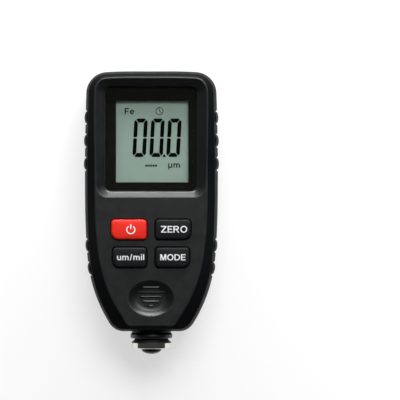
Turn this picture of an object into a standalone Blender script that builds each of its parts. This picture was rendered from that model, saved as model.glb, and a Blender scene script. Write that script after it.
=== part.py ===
"""Coating thickness gauge with a built-in spring probe.

The gauge lies on its back: +Z comes out of its face, +Y runs to its top end and the probe points along -Y.
The origin is under the middle of its length, on the plane that the back lies on.
"""

import math

import bmesh
import bpy
from mathutils import Matrix, Vector
from mathutils.geometry import interpolate_bezier

MM = 0.001

# Fits
GAP = 0.3 * MM                  # between neighbouring pieces
OVERLAP = 0.5 * MM              # how far fused shapes run into each other
SWEEP = 5 * MM                  # how far a cutter runs past the face that it opens

# Case, seen from the front
CASE_LENGTH = 96.5 * MM
CASE_WIDTH = 49.4 * MM
CASE_DEPTH = 26.5 * MM
TOP_CORNER_RADIUS = 8.0 * MM
TOP_CROWN = 0.25 * MM           # rise of the top edge from its corners to its middle
TOP_TUCK = 0.5 * MM             # how much narrower the case is at its top corners
WIDEST_HEIGHT = 60.0 * MM       # height above the bottom end where the case is widest
HIP_HEIGHT = 27.5 * MM          # where the flanks start to draw in
HIP_TUCK = 0.95 * MM
TOE_HEIGHT = 3.0 * MM           # where the flanks meet the bottom corners
TOE_TUCK = 9.1 * MM
TOE_END_TUCK = 14.4 * MM        # where the bottom corners meet the straight bottom end

# Case, seen from the side
PARTING_HEIGHT = 13.5 * MM
PARTING_GROOVE = 0.3 * MM
SIDE_CROWN = 1.1 * MM           # how far the walls lean in from the parting line to either edge
BACK_EDGE_RADIUS = 2.3 * MM
SHOULDER_ROUNDING = 0.4 * MM
RIM_ROUNDING = 0.35 * MM

# Bevel between the side wall and the face: its width across the front, and how far it drops
BEVEL_TOP = 2.4 * MM
BEVEL_SIDE = 3.85 * MM
BEVEL_HIP = 4.4 * MM
BEVEL_TOE = 5.6 * MM
BEVEL_END = 2.2 * MM
DROP_TOP = 1.8 * MM
DROP_SIDE = 2.2 * MM
DROP_TOE = 3.0 * MM
DROP_END = 0.9 * MM
FACE_TOE_TUCK = 2.9 * MM        # how much shorter the face's bottom edge is than the case's, at each end
FACE_TURNS = (0, 0, 0, 0, -4, -3, 0, 0)    # degrees, of the face's rim against the case's outline

# Outlines
OUTLINE_STEPS = (2, 5, 2, 2, 5, 3, 1)      # points from knot to knot, down the right side
TOP_HEADINGS = (-4, -88.5)      # degrees, into and out of the top corner
FLANK_HEADING = -95
TOE_HEADING = -122
FUNNEL_FLANK_HEADING = -91
WALL_LEVELS = (0.4, 0.75)       # heights between the parting line and an edge where the crown is drawn

# Walls
WALL = 2.0 * MM
FRONT_WALL = 2.2 * MM
BACK_WALL = 2.2 * MM
BACK_CAVITY_LEAN_HEIGHT = 5.9 * MM    # above the back wall, where the cavity's sides become upright
LIP_INSET = 1.25 * MM
LIP_THICKNESS = 0.8 * MM
LIP_HEIGHT = 1.15 * MM          # how far the rear shell's lip stands into the front shell

# Grip pads, moulded in both shells
PAD_LENGTH = 4.4 * MM
PAD_PITCH = 8.6 * MM
PAD_RISE = 0.5 * MM
PAD_GROOVE = 0.4 * MM           # width and depth of the groove round each pad
PAD_ROOT_SHARE = 0.75           # how far a pad reaches through the wall outside the rebate
PAD_POINTS = (-1, -0.75, -0.3, 0.3, 0.75, 1)    # along a pad, where its bump is drawn
UPPER_PADS = 3
LOWER_PADS = 2
UPPER_PAD_DEPTH = 17.15 * MM    # top end to the middle of the first pad
LOWER_PAD_HEIGHT = 31.8 * MM    # bottom end to the middle of the first lower pad
PAD_FRONT_MARGIN = 3.3 * MM     # face to the pads' front ends
PAD_BACK_MARGIN = 3.0 * MM      # back to the pads' rear ends
PAD_CHAMFER = 0.5 * MM

# Display
LENS_SIDE_MARGIN = 7.6 * MM     # case's side to the lens
LENS_LENGTH = 38.3 * MM
LENS_DEPTH = 6.1 * MM           # top end to the lens's upper edge
LENS_CORNER = 1.5 * MM
LENS_THICKNESS = 1.2 * MM
FUNNEL_RIM = 0.5 * MM           # face's rim left round the display recess
FUNNEL_DEPTH = 1.6 * MM
FUNNEL_SLOPE_END = 2.4 * MM     # width of the slope under the lens
FUNNEL_CORNER = 2.2 * MM
FUNNEL_FOOT_TUCK = 0.25 * MM    # how much narrower the recess is at its lower corners than the rim
WINDOW_MARGIN = 2.6 * MM        # ledge that the lens lies on
LEDGE_THICKNESS = 1.0 * MM
LCD_SIDE_MARGIN = 2.1 * MM      # lens's side to the glass behind it
LCD_LENGTH = 33.6 * MM
LCD_THICKNESS = 1.8 * MM
LCD_SHIFT = 0.9 * MM            # how far the glass's middle lies under the lens's
LIGHT_GUIDE_THICKNESS = 1.3 * MM
STRIP_WIDTH = 1.5 * MM
LCD_FRAME_WALL = 1.2 * MM

# Keys: two rows of two, each with one large corner outwards and down
KEY_TOP_HEIGHT = 1.6 * MM       # how far a key stands out of the face
KEY_CROWN = 0.75 * MM
KEY_CROWN_STEPS = ((0, 1), (0.2 * MM, 0.55), (0.75 * MM, 0.22), (2.2 * MM, 0.04), (3.2 * MM, 0))
KEY_LEAST_CORNER = 0.3 * MM
KEY_LENGTH = 7.3 * MM
KEY_SIDE_MARGINS = (9.8 * MM, 10.3 * MM)    # case's side to each row's outer openings
KEY_SPACING = 2.7 * MM          # between the two openings of a row
KEY_ROW_PITCH = 10.3 * MM
KEY_ROW_DEPTH = 58.65 * MM      # top end to the middle of the upper row
KEY_CORNER = 0.8 * MM
KEY_LARGE_CORNER = 2.2 * MM
KEY_SKIRT = 0.8 * MM            # how far the skirt under the wall stands out past the opening
KEY_SKIRT_THICKNESS = 1.1 * MM
MAT_THICKNESS = 1.0 * MM
MAT_MARGIN = 1.0 * MM
DOME_RADIUS = 3.5 * MM
DOME_TOP_RADIUS = 2.5 * MM
DOME_WALL = 0.6 * MM

# Finger dish under the keys
DISH_WIDTH = 16.7 * MM
DISH_LENGTH = 13.1 * MM
DISH_DEPTH = 1.6 * MM
DISH_HEIGHT = 12.5 * MM         # bottom end to the middle of the dish
DISH_FLOOR = 1.8 * MM
RIDGE_RISE = 0.45 * MM
RIDGE_WIDTH = 0.7 * MM
RIDGE_END = 0.31 * MM           # rounding of a ridge's ends
RIDGE_PITCH = 1.75 * MM
RIDGE_LENGTHS = (6.3 * MM, 10.0 * MM, 8.4 * MM, 6.0 * MM, 1.8 * MM)

# Circuit board
BOARD_SIDE_MARGIN = 6.3 * MM    # case's side to the board
BOARD_LENGTH = 74.0 * MM
BOARD_THICKNESS = 1.2 * MM
BOARD_TOP_MARGIN = 6.0 * MM     # top end to the board
BOARD_CORNER = 2.0 * MM
CHIP_SIZE = 10.0 * MM
CHIP_THICKNESS = 1.5 * MM
CRYSTAL_RADIUS = 1.4 * MM
CRYSTAL_LENGTH = 6.0 * MM
CONNECTOR_SIZE = (7.0 * MM, 4.0 * MM, 3.2 * MM)
SOCKET_DEPTH = 2.8 * MM

# Screws
SCREW_RADIUS = 1.1 * MM
SCREW_HEAD_RADIUS = 2.0 * MM
SCREW_CROWN_RADIUS = 1.6 * MM
SCREW_HEAD_HEIGHT = 1.6 * MM
SCREW_CROSS_WIDTH = 0.6 * MM
SCREW_CROSS_LENGTH = 2.2 * MM
SCREW_CROSS_DEPTH = 0.9 * MM
BOSS_WALL = 1.4 * MM
POST_WALL = 0.7 * MM
SEAT_WALL = 0.98 * MM
CASE_SCREW_REACH = 13.9 * MM    # length of the shank
CASE_SCREW_SEAT = 8.0 * MM      # depth of the counterbore in the back
SCREW_TIP_ROOM = 1.7 * MM       # what a boss's bore has left past the screw
TOP_SCREW_INSET = 6.8 * MM
BOTTOM_SCREW_INSET = 9.5 * MM   # case's side to the screws at the bottom
BOTTOM_SCREW_HEIGHT = 15.0 * MM
BOARD_SCREW_REACH = 3.6 * MM
BOARD_POST_INSET = 2.1 * MM     # board's side to its posts
UPPER_POST_GAP = 4.5 * MM       # lens's lower edge to the upper pair of board posts
LOWER_POST_HEIGHT = 20.8 * MM   # bottom end to the lower pair

# Cells and their bay
CELL_LENGTH = 44.5 * MM
CELL_RADIUS = 5.25 * MM
CELL_NUB_RADIUS = 1.9 * MM
CELL_NUB_LENGTH = 0.9 * MM
CELL_EDGE = 0.3 * MM
CELL_SPACING = 11.1 * MM
BAY_WALL = 1.2 * MM
BAY_TOP_MARGIN = 5.5 * MM       # top end to the inside of the bay
CONTACT_THICKNESS = 0.4 * MM
CONTACT_WIDTH = 8.0 * MM
CONTACT_LENGTH = 8.0 * MM
CONTACT_TAB_WIDTH = 2.0 * MM
BATTERY_SPRING_LENGTH = 3.3 * MM
BATTERY_SPRING_RADIUS = 3.2 * MM
BATTERY_SPRING_TIP = 1.76 * MM
BATTERY_SPRING_TURNS = 3
BATTERY_WIRE_RADIUS = 0.3 * MM

# Battery door
DOOR_PLATE = 0.9 * MM
DOOR_INNER = 2.1 * MM           # back to the inside of the door
DOOR_OVERLAP = 1.2 * MM         # how far the plate runs past the bay on each side
DOOR_TRAVEL = 8.0 * MM
HOOK_LENGTH = 5.0 * MM
HOOK_REACH = 1.2 * MM
HOOK_THICKNESS = 0.8 * MM
HOOK_PLACES = (0.12, 0.55)      # along the bay
THUMB_PLACE = 0.25              # along the bay, where the thumb grooves start
GRIP_GROOVES = 4
GRIP_GROOVE_LENGTH = 10.0 * MM
GRIP_GROOVE_WIDTH = 0.8 * MM
GRIP_GROOVE_PITCH = 1.9 * MM
GRIP_GROOVE_DEPTH = 0.4 * MM
ARROW_WIDTH = 4.0 * MM
ARROW_LENGTH = 2.8 * MM

# Collar and probe, turned about one axis along Y
COLLAR_RADIUS = 7.8 * MM
COLLAR_LENGTH = 2.6 * MM
COLLAR_NECK_DEPTH = 0.5 * MM
COLLAR_NECK_LENGTH = 0.52 * MM
COLLAR_STEP_LENGTH = 0.78 * MM  # from the neck out to the collar's full radius
COLLAR_MOUTH_TUCK = 0.2 * MM    # how much narrower the collar's mouth is than the probe's head
COLLAR_ROUNDING = 0.6 * MM
PROBE_REACH = 5.9 * MM          # collar to the tip
PROBE_TRAVEL = 1.0 * MM
NECK_RADIUS = 6.1 * MM
NECK_LENGTH = 0.5 * MM          # neck that shows under the collar
FLARE = 1.3 * MM                # how much wider the head is than the neck
FLARE_LENGTH = 0.8 * MM
HEAD_LENGTH = 2.4 * MM
HEAD_ROUNDING = 0.25 * MM
UNDERSIDE_RISE = 0.4 * MM
SLEEVE_WALL = 0.8 * MM
GUIDE_LENGTH = 5.1 * MM         # collar's end to the shoulder that stops the sleeve
FLANGE_RADIUS = 7.6 * MM
FLANGE_THICKNESS = 1.0 * MM
SLEEVE_TAIL = 2.7 * MM
CHAMBER_WALL = 1.4 * MM
PROBE_SPRING_LENGTH = 6.3 * MM
PROBE_SPRING_RADIUS = 6.9 * MM
PROBE_WIRE_RADIUS = 0.3 * MM
PROBE_SPRING_TURNS = 4
LEAD_HOLE_RADIUS = 4.0 * MM
TIP_RADIUS = 3.55 * MM
TIP_FLANGE = 0.9 * MM
TIP_FLANGE_THICKNESS = 0.9 * MM
TIP_NECK = 0.5 * MM
TIP_FULLNESS = 0.8              # 1 makes the tip an ellipsoid, less makes it blunter
CORE_RADIUS = 1.5 * MM
BOBBIN_HUB = 0.8 * MM
BOBBIN_FLANGE_THICKNESS = 0.6 * MM
COIL_DEPTH = 1.3 * MM
CAP_THICKNESS = 1.1 * MM
LEAD_RADIUS = 0.5 * MM
LEAD_STEPS = 16

# Mesh fineness
SMALL_STEPS = 12
ROUND_STEPS = 24
HIDDEN_STEPS = 16
SPRING_STEPS = 8
CREASE = math.radians(35)

# Places along the gauge
TOP_END = (CASE_LENGTH + COLLAR_LENGTH + PROBE_REACH) / 2
BOTTOM_END = TOP_END - CASE_LENGTH
COLLAR_END = BOTTOM_END - COLLAR_LENGTH
TIP_END = COLLAR_END - PROBE_REACH

# Heights of what is stacked under the face
FACE = CASE_DEPTH
CEILING = FACE - FRONT_WALL
LENS_TOP = FACE - FUNNEL_DEPTH
LEDGE_TOP = LENS_TOP - LENS_THICKNESS - GAP
LEDGE_UNDERSIDE = LEDGE_TOP - LEDGE_THICKNESS
LCD_TOP = LEDGE_UNDERSIDE - GAP
LIGHT_GUIDE_TOP = LCD_TOP - LCD_THICKNESS - GAP
BOARD_TOP = LIGHT_GUIDE_TOP - LIGHT_GUIDE_THICKNESS - GAP
BOARD_UNDERSIDE = BOARD_TOP - BOARD_THICKNESS
MAT_TOP = BOARD_TOP + GAP + MAT_THICKNESS
SKIRT_TOP = CEILING - GAP
SKIRT_UNDERSIDE = SKIRT_TOP - KEY_SKIRT_THICKNESS
DOME_TOP = SKIRT_UNDERSIDE - GAP

# Heights and places of the cells
CELL_HEIGHT = DOOR_INNER + GAP + CELL_RADIUS
BAY_CEILING = CELL_HEIGHT + CELL_RADIUS + GAP
BAY_LENGTH = CELL_LENGTH + 2 * CONTACT_THICKNESS + BATTERY_SPRING_LENGTH + 3 * GAP
BAY_HALF_WIDTH = CELL_SPACING / 2 + CELL_RADIUS + GAP
BAY_UPPER_END = TOP_END - BAY_TOP_MARGIN
BAY_LOWER_END = BAY_UPPER_END - BAY_LENGTH

# The rear shell's lip in the front shell
REBATE_INSET = LIP_INSET - GAP
REBATE_TOP = PARTING_HEIGHT + LIP_HEIGHT + GAP

# Lens and glass
LENS_WIDTH = CASE_WIDTH - 2 * LENS_SIDE_MARGIN
LENS_UPPER_EDGE = TOP_END - LENS_DEPTH
LENS_LOWER_EDGE = LENS_UPPER_EDGE - LENS_LENGTH
LENS_MIDDLE = (LENS_UPPER_EDGE + LENS_LOWER_EDGE) / 2
LCD_WIDTH = LENS_WIDTH - 2 * LCD_SIDE_MARGIN
LCD_MIDDLE = LENS_MIDDLE - LCD_SHIFT

# Board
BOARD_WIDTH = CASE_WIDTH - 2 * BOARD_SIDE_MARGIN
BOARD_POST_SPREAD = BOARD_WIDTH / 2 - BOARD_POST_INSET

# Probe
HEAD_RADIUS = NECK_RADIUS + FLARE
FLARE_TOP = COLLAR_END - NECK_LENGTH
HEAD_TOP = FLARE_TOP - FLARE_LENGTH
HEAD_UNDERSIDE = HEAD_TOP - HEAD_LENGTH
BORE_RADIUS = NECK_RADIUS + GAP
CHAMBER_RADIUS = FLANGE_RADIUS + GAP
STOP_SHOULDER = COLLAR_END + GUIDE_LENGTH
FLANGE_UNDERSIDE = STOP_SHOULDER + GAP
FLANGE_TOP = FLANGE_UNDERSIDE + FLANGE_THICKNESS
SLEEVE_TOP = FLANGE_TOP + SLEEVE_TAIL
SPRING_SEAT = FLANGE_TOP + PROBE_SPRING_LENGTH + 2 * GAP
CHAMBER_END = SPRING_SEAT + CHAMBER_WALL
SLEEVE_BORE = NECK_RADIUS - SLEEVE_WALL
SLEEVE_FLOOR = HEAD_UNDERSIDE + SLEEVE_WALL + TIP_NECK


def collections():
    """An empty file with one collection for the parts and one for the shapes that cut or join them."""
    for item in list(bpy.data.objects):
        bpy.data.objects.remove(item, do_unlink=True)
    parts = bpy.data.collections.new("coating_thickness_gauge")
    tools = bpy.data.collections.new("cutters")
    bpy.context.scene.collection.children.link(parts)
    bpy.context.scene.collection.children.link(tools)
    return parts, tools


PARTS, TOOLS = collections()


def material(name, colour, roughness, metallic=0.0):
    made = bpy.data.materials.new(name)
    made.use_nodes = True
    shader = made.node_tree.nodes["Principled BSDF"]
    shader.inputs["Base Color"].default_value = (*colour, 1)
    shader.inputs["Roughness"].default_value = roughness
    shader.inputs["Metallic"].default_value = metallic
    return made


CHARCOAL = material("charcoal_plastic", (0.024, 0.026, 0.028), 0.5)
BLACK = material("black_plastic", (0.012, 0.012, 0.013), 0.5)
SMOKED = material("lens_plastic", (0.01, 0.01, 0.009), 0.08)
LCD_GREEN = material("lcd_glass", (0.22, 0.29, 0.25), 0.3)
WHITE = material("white_plastic", (0.7, 0.7, 0.68), 0.4)
RED = material("red_rubber", (0.75, 0.03, 0.02), 0.45)
RUBBER = material("key_rubber", (0.02, 0.021, 0.023), 0.55)
SILICONE = material("silicone", (0.3, 0.31, 0.32), 0.6)
BOARD_GREEN = material("board_laminate", (0.02, 0.12, 0.05), 0.4)
CHIP_BLACK = material("chip_resin", (0.015, 0.015, 0.016), 0.45)
STEEL = material("bright_steel", (0.6, 0.6, 0.6), 0.3, 1.0)
SPRING_STEEL = material("spring_steel", (0.45, 0.45, 0.46), 0.35, 1.0)
NICKEL = material("nickel", (0.65, 0.62, 0.56), 0.25, 1.0)
CHROME = material("chrome", (0.75, 0.76, 0.78), 0.1, 1.0)
COPPER = material("enamelled_copper", (0.7, 0.25, 0.1), 0.35, 1.0)
IRON = material("soft_iron", (0.35, 0.34, 0.33), 0.4, 1.0)
CELL_GREY = material("cell_wrap", (0.12, 0.13, 0.15), 0.35)


def part(name, mesh, finish, place=(0, 0, 0)):
    """One sub-part: its mesh is moved so that its origin lies at its place."""
    mesh.transform(Matrix.Translation(-Vector(place)))
    made = bpy.data.objects.new(name, mesh)
    made.location = place
    made.data.materials.append(finish)
    PARTS.objects.link(made)
    return made


def tool(name, mesh):
    """A shape that cuts or joins others, and is no part itself."""
    made = bpy.data.objects.new(name, mesh)
    made.hide_render = True
    made.display_type = "WIRE"
    TOOLS.objects.link(made)
    return made


def combine(target, operation, other):
    step = target.modifiers.new(f"{operation.lower()}_{other.name}", "BOOLEAN")
    step.operation = operation
    step.object = other
    step.solver = "EXACT"


def cut(target, *others):
    for other in others:
        combine(target, "DIFFERENCE", other)


def fuse(target, *others):
    for other in others:
        combine(target, "UNION", other)


def keep_common(target, other):
    combine(target, "INTERSECT", other)


def mesh_from(work, name):
    bmesh.ops.recalc_face_normals(work, faces=work.faces)
    mesh = bpy.data.meshes.new(name)
    work.to_mesh(mesh)
    work.free()
    mesh.shade_smooth()
    mesh.set_sharp_from_angle(angle=CREASE)
    return mesh


def boxes(name, *spans):
    """Boxes in one mesh, each from its low corner to its high corner."""
    work = bmesh.new()
    for low, high in spans:
        low, high = Vector(low), Vector(high)
        size = Matrix.Diagonal((*(high - low), 1))
        bmesh.ops.create_cube(work, size=1, matrix=Matrix.Translation((low + high) / 2) @ size)
    return mesh_from(work, name)


def posts(name, centres, radius, low, high, steps=SMALL_STEPS, top_radius=None):
    """Upright round posts in one mesh, straight or tapered."""
    work = bmesh.new()
    for x, y in centres:
        bmesh.ops.create_cone(
            work, cap_ends=True, segments=steps, radius1=radius,
            radius2=radius if top_radius is None else top_radius, depth=high - low,
            matrix=Matrix.Translation((x, y, (low + high) / 2)),
        )
    return mesh_from(work, name)


def loft(name, rings, ends=True):
    """A skin over rings of equally many points; without ends it closes on its first ring, like a frame."""
    work = bmesh.new()
    rows = [[work.verts.new(point) for point in ring] for ring in rings]
    pairs = list(zip(rows, rows[1:])) if ends else list(zip(rows, rows[1:] + rows[:1]))
    for lower, upper in pairs:
        for i in range(len(lower)):
            j = (i + 1) % len(lower)
            work.faces.new((lower[i], lower[j], upper[j], upper[i]))
    if ends:
        work.faces.new(rows[0])
        work.faces.new(rows[-1])
    return mesh_from(work, name)


def joined(name, meshes):
    """Separate closed shapes gathered in one mesh."""
    work = bmesh.new()
    for mesh in meshes:
        work.from_mesh(mesh)
    return mesh_from(work, name)


def turned(name, profile, finish=None, steps=ROUND_STEPS):
    """A profile of (radius, place along Y) turned about the probe's axis; without a finish it is a tool."""
    mesh = bpy.data.meshes.new(name)
    closed = profile[0][0] > 0
    count = len(profile)
    edges = [(i, i + 1) for i in range(count - 1)] + ([(count - 1, 0)] if closed else [])
    mesh.from_pydata([(radius, 0, along) for radius, along in profile], edges, [])
    made = part(name, mesh, finish) if finish else tool(name, mesh)
    made.rotation_euler = (-math.pi / 2, 0, 0)
    made.location = (0, 0, PARTING_HEIGHT)
    turn = made.modifiers.new("turn", "SCREW")
    turn.axis = "Z"
    turn.angle = 2 * math.pi
    turn.steps = steps
    turn.render_steps = steps
    turn.use_merge_vertices = True
    turn.merge_threshold = 0.00001
    turn.use_smooth_shade = True
    return made


def direction(heading):
    return Vector((math.cos(math.radians(heading)), math.sin(math.radians(heading))))


def inward(heading):
    """To the right of the way that an outline runs, which is clockwise."""
    along = direction(heading)
    return Vector((along.y, -along.x))


def trace(knots, steps):
    """Points along round curves from knot to knot; a knot is a place, a heading and a value carried along."""
    points = []
    for (start, leaving, first), (end, arriving, last), count in zip(knots, knots[1:], steps):
        turn = math.radians(abs(arriving - leaving))
        handle = (end - start).length / (3 * math.cos(turn / 4) ** 2)
        curve = interpolate_bezier(
            start.to_3d(), (start + direction(leaving) * handle).to_3d(),
            (end - direction(arriving) * handle).to_3d(), end.to_3d(), count + 1,
        )
        for i, point in enumerate(curve[:-1]):
            share = (1 - math.cos(math.pi * i / count)) / 2
            points.append((point.x, point.y, first + (last - first) * share))
    end, _, last = knots[-1]
    points.append((end.x, end.y, last))
    return points


def both_sides(half):
    """A closed outline from its right half, which starts and ends on the middle line."""
    return half + [(-x, y, value) for x, y, value in reversed(half[1:-1])]


def case_knots():
    """The case at the parting line, from the top's middle down the right side; carries the bevel's drop."""
    half = CASE_WIDTH / 2
    corner = Vector((half - TOP_TUCK - TOP_CORNER_RADIUS, TOP_END - TOP_CROWN - TOP_CORNER_RADIUS))
    leaving, arriving = TOP_HEADINGS
    return [
        (Vector((0, TOP_END)), 0, DROP_TOP),
        (corner - inward(leaving) * TOP_CORNER_RADIUS, leaving, DROP_TOP),
        (corner - inward(arriving) * TOP_CORNER_RADIUS, arriving, DROP_SIDE),
        (Vector((half, BOTTOM_END + WIDEST_HEIGHT)), -90, DROP_SIDE),
        (Vector((half - HIP_TUCK, BOTTOM_END + HIP_HEIGHT)), FLANK_HEADING, DROP_TOE),
        (Vector((half - TOE_TUCK, BOTTOM_END + TOE_HEIGHT)), TOE_HEADING, DROP_TOE),
        (Vector((half - TOE_END_TUCK, BOTTOM_END)), -180, DROP_END),
        (Vector((0, BOTTOM_END)), -180, DROP_END),
    ]


def face_knots():
    """The flat face's rim, inside the case's outline by the bevel's width."""
    corner = (BEVEL_TOP + BEVEL_SIDE) / 2
    widths = (BEVEL_TOP, BEVEL_TOP, corner, BEVEL_SIDE, BEVEL_HIP, BEVEL_TOE, BEVEL_END, BEVEL_END)
    shifts = (0, 0, 0, 0, 0, 0, FACE_TOE_TUCK, 0)
    return [
        (place + inward(heading) * width - Vector((shift, 0)), heading + turn, drop)
        for (place, heading, drop), width, turn, shift in zip(case_knots(), widths, FACE_TURNS, shifts)
    ]


CASE_OUTLINE = both_sides(trace(case_knots(), OUTLINE_STEPS))
FACE_OUTLINE = both_sides(trace(face_knots(), OUTLINE_STEPS))


def inset(outline, distance):
    """The outline moved inwards by one distance."""
    moved = []
    count = len(outline)
    for i, (x, y, value) in enumerate(outline):
        before, after = outline[i - 1], outline[(i + 1) % count]
        along = Vector((after[0] - before[0], after[1] - before[1])).normalized()
        moved.append((x + along.y * distance, y - along.x * distance, value))
    return moved


def ring(outline, height):
    return [Vector((x, y, height)) for x, y, _ in outline]


def lean(height):
    """How far the side wall lies inside the parting line's outline at a height."""
    edge = FACE - DROP_SIDE if height > PARTING_HEIGHT else BACK_EDGE_RADIUS
    return SIDE_CROWN * min(1, abs((height - PARTING_HEIGHT) / (edge - PARTING_HEIGHT))) ** 2


def half_width_at(y):
    """Half the case's width at the parting line at a place along the gauge."""
    right = CASE_OUTLINE[:len(CASE_OUTLINE) // 2 + 1]
    for (x0, y0, _), (x1, y1, _) in zip(right, right[1:]):
        if y1 <= y <= y0 and y0 > y1:
            return x0 + (x1 - x0) * (y0 - y) / (y0 - y1)
    return right[0][0]


def side_ring(height):
    return ring(inset(CASE_OUTLINE, lean(height)), height)


def parting_rings(way):
    """The end of a shell's skin: it leans in at 45 degrees to the parting line, and runs on to be cut off."""
    sunk = inset(CASE_OUTLINE, GAP / 2 + PARTING_GROOVE)
    return [ring(sunk, PARTING_HEIGHT), ring(sunk, PARTING_HEIGHT - way * 2 * OVERLAP)]


def front_skin():
    """The front shell's outside: crowned walls, then the bevel up to the face."""
    walls = [side_ring(PARTING_HEIGHT + GAP / 2 + PARTING_GROOVE)]
    low_shoulder = FACE - DROP_TOE - SHOULDER_ROUNDING
    for share in WALL_LEVELS:
        walls.append(side_ring(PARTING_HEIGHT + (low_shoulder - PARTING_HEIGHT) * share))
    shoulder = inset(CASE_OUTLINE, SIDE_CROWN)
    below = [Vector((x, y, FACE - drop - SHOULDER_ROUNDING)) for x, y, drop in shoulder]
    edge = [Vector((x, y, FACE - drop)) for x, y, drop in shoulder]
    rim = ring(FACE_OUTLINE, FACE)
    above = [low + (high - low).normalized() * SHOULDER_ROUNDING for low, high in zip(edge, rim)]
    softened = [(low + middle + high) / 3 for low, middle, high in zip(below, edge, above)]
    before_rim = [high + (low - high).normalized() * RIM_ROUNDING for low, high in zip(edge, rim)]
    face_edge = ring(inset(FACE_OUTLINE, RIM_ROUNDING), FACE)
    rim_softened = [(low + middle + high) / 3 for low, middle, high in zip(before_rim, rim, face_edge)]
    groove = reversed(parting_rings(1))
    return [*groove, *walls, below, softened, above, before_rim, rim_softened, face_edge]


def back_skin():
    """The rear shell's outside: rounded back edge, then crowned walls up to the parting line."""
    rings = []
    for angle in (0, 30, 60, 90):
        height = BACK_EDGE_RADIUS * (1 - math.cos(math.radians(angle)))
        sunk = SIDE_CROWN + BACK_EDGE_RADIUS * (1 - math.sin(math.radians(angle)))
        rings.append(ring(inset(CASE_OUTLINE, sunk), height))
    for share in WALL_LEVELS:
        rings.append(side_ring(BACK_EDGE_RADIUS + (PARTING_HEIGHT - BACK_EDGE_RADIUS) * share))
    rings.append(side_ring(PARTING_HEIGHT - GAP / 2 - PARTING_GROOVE))
    return rings + parting_rings(-1)


def front_cavity():
    """The front shell's inside, with a rebate for the rear shell's lip at its foot."""
    shoulder = FACE - DROP_TOE
    return [
        ring(inset(CASE_OUTLINE, REBATE_INSET), PARTING_HEIGHT - 3 * OVERLAP),
        ring(inset(CASE_OUTLINE, REBATE_INSET), REBATE_TOP),
        ring(inset(CASE_OUTLINE, WALL), REBATE_TOP),
        ring(inset(CASE_OUTLINE, WALL), REBATE_TOP + WALL),
        ring(inset(CASE_OUTLINE, WALL + SIDE_CROWN), shoulder - WALL),
        ring(inset(FACE_OUTLINE, OVERLAP), CEILING),
    ]


def back_cavity():
    return [
        ring(inset(CASE_OUTLINE, WALL + SIDE_CROWN + BACK_EDGE_RADIUS / 2), BACK_WALL),
        ring(inset(CASE_OUTLINE, WALL + SIDE_CROWN), BACK_WALL + BACK_EDGE_RADIUS / 2),
        ring(inset(CASE_OUTLINE, WALL), BACK_WALL + BACK_CAVITY_LEAN_HEIGHT),
        ring(inset(CASE_OUTLINE, WALL), PARTING_HEIGHT + 3 * OVERLAP),
    ]


def frame_loft(name, outer, inner, low, high):
    """A band that follows the case's outline, between two insets and two heights."""
    outside, inside = inset(CASE_OUTLINE, outer), inset(CASE_OUTLINE, inner)
    rings = [ring(outside, low), ring(outside, high), ring(inside, high), ring(inside, low)]
    return loft(name, rings, ends=False)


def pad_places():
    upper = [TOP_END - UPPER_PAD_DEPTH - PAD_PITCH * i for i in range(UPPER_PADS)]
    lower = [BOTTOM_END + LOWER_PAD_HEIGHT - PAD_PITCH * i for i in range(LOWER_PADS)]
    return upper + lower


def pad_section(middle, height, rise, side):
    """A pad's outline at one height: a shallow bump over the wall, closed inside the wall."""
    section = []
    for share in PAD_POINTS:
        y = middle + share * PAD_LENGTH / 2
        bump = (rise + PAD_GROOVE) * math.sqrt(1 - share * share) - PAD_GROOVE
        section.append(Vector((side * (half_width_at(y) - lean(height) + bump), y, height)))
    for share in (1, -1):
        y = middle + share * PAD_LENGTH / 2
        root = half_width_at(y) - lean(height) - REBATE_INSET * PAD_ROOT_SHARE
        section.append(Vector((side * root, y, height)))
    return section


def grip_pads(name, heights):
    """All pads of one shell; their outer ends slope down into the wall."""
    meshes = []
    for middle in pad_places():
        for side in (-1, 1):
            rings = [pad_section(middle, height, rise, side) for height, rise in heights]
            meshes.append(loft(name, rings))
    return joined(name, meshes)


def pad_pockets():
    """What is cut from the walls round the pads, so that a groove is left."""
    meshes = []
    for middle in pad_places():
        low, high = middle - PAD_LENGTH / 2 - PAD_GROOVE, middle + PAD_LENGTH / 2 + PAD_GROOVE
        back, front = PAD_BACK_MARGIN - PAD_GROOVE, FACE - PAD_FRONT_MARGIN + PAD_GROOVE
        for side in (-1, 1):
            rings = []
            for height in (back, PARTING_HEIGHT, front):
                floor = [half_width_at(y) - lean(height) - PAD_GROOVE for y in (low, high)]
                rings.append([
                    Vector((side * floor[0], low, height)), Vector((side * floor[1], high, height)),
                    Vector((side * (CASE_WIDTH / 2 + SWEEP), high, height)),
                    Vector((side * (CASE_WIDTH / 2 + SWEEP), low, height)),
                ])
            meshes.append(loft("pocket", rings))
    return joined("pad_pockets", meshes)


def rounded_block(name, low, high, radii, steps=4, heights=((0, 0),)):
    """A block with rounded upright corners, given clockwise from the upper right; heights are (z, inset)."""
    outline = rounded_outline(low, high, radii, steps)
    return loft(name, [ring(inset(outline, sunk), height) for height, sunk in heights])


def rounded_outline(low, high, radii, steps=4):
    corners = [(high[0], high[1]), (high[0], low[1]), (low[0], low[1]), (low[0], high[1])]
    signs = [(-1, -1), (-1, 1), (1, 1), (1, -1)]
    outline = []
    for (x, y), (sx, sy), radius, start in zip(corners, signs, radii, (90, 0, -90, -180)):
        centre = Vector((x + sx * radius, y + sy * radius))
        for i in range(steps + 1):
            point = centre + direction(start - 90 * i / steps) * radius
            outline.append((point.x, point.y, 0))
    return outline


def top_screw_places():
    x = CASE_WIDTH / 2 - TOP_SCREW_INSET
    y = TOP_END - TOP_SCREW_INSET
    return [(-x, y), (x, y)]


def case_screw_places():
    y = BOTTOM_END + BOTTOM_SCREW_HEIGHT
    x = CASE_WIDTH / 2 - BOTTOM_SCREW_INSET
    return top_screw_places() + [(-x, y), (x, y)]


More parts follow.
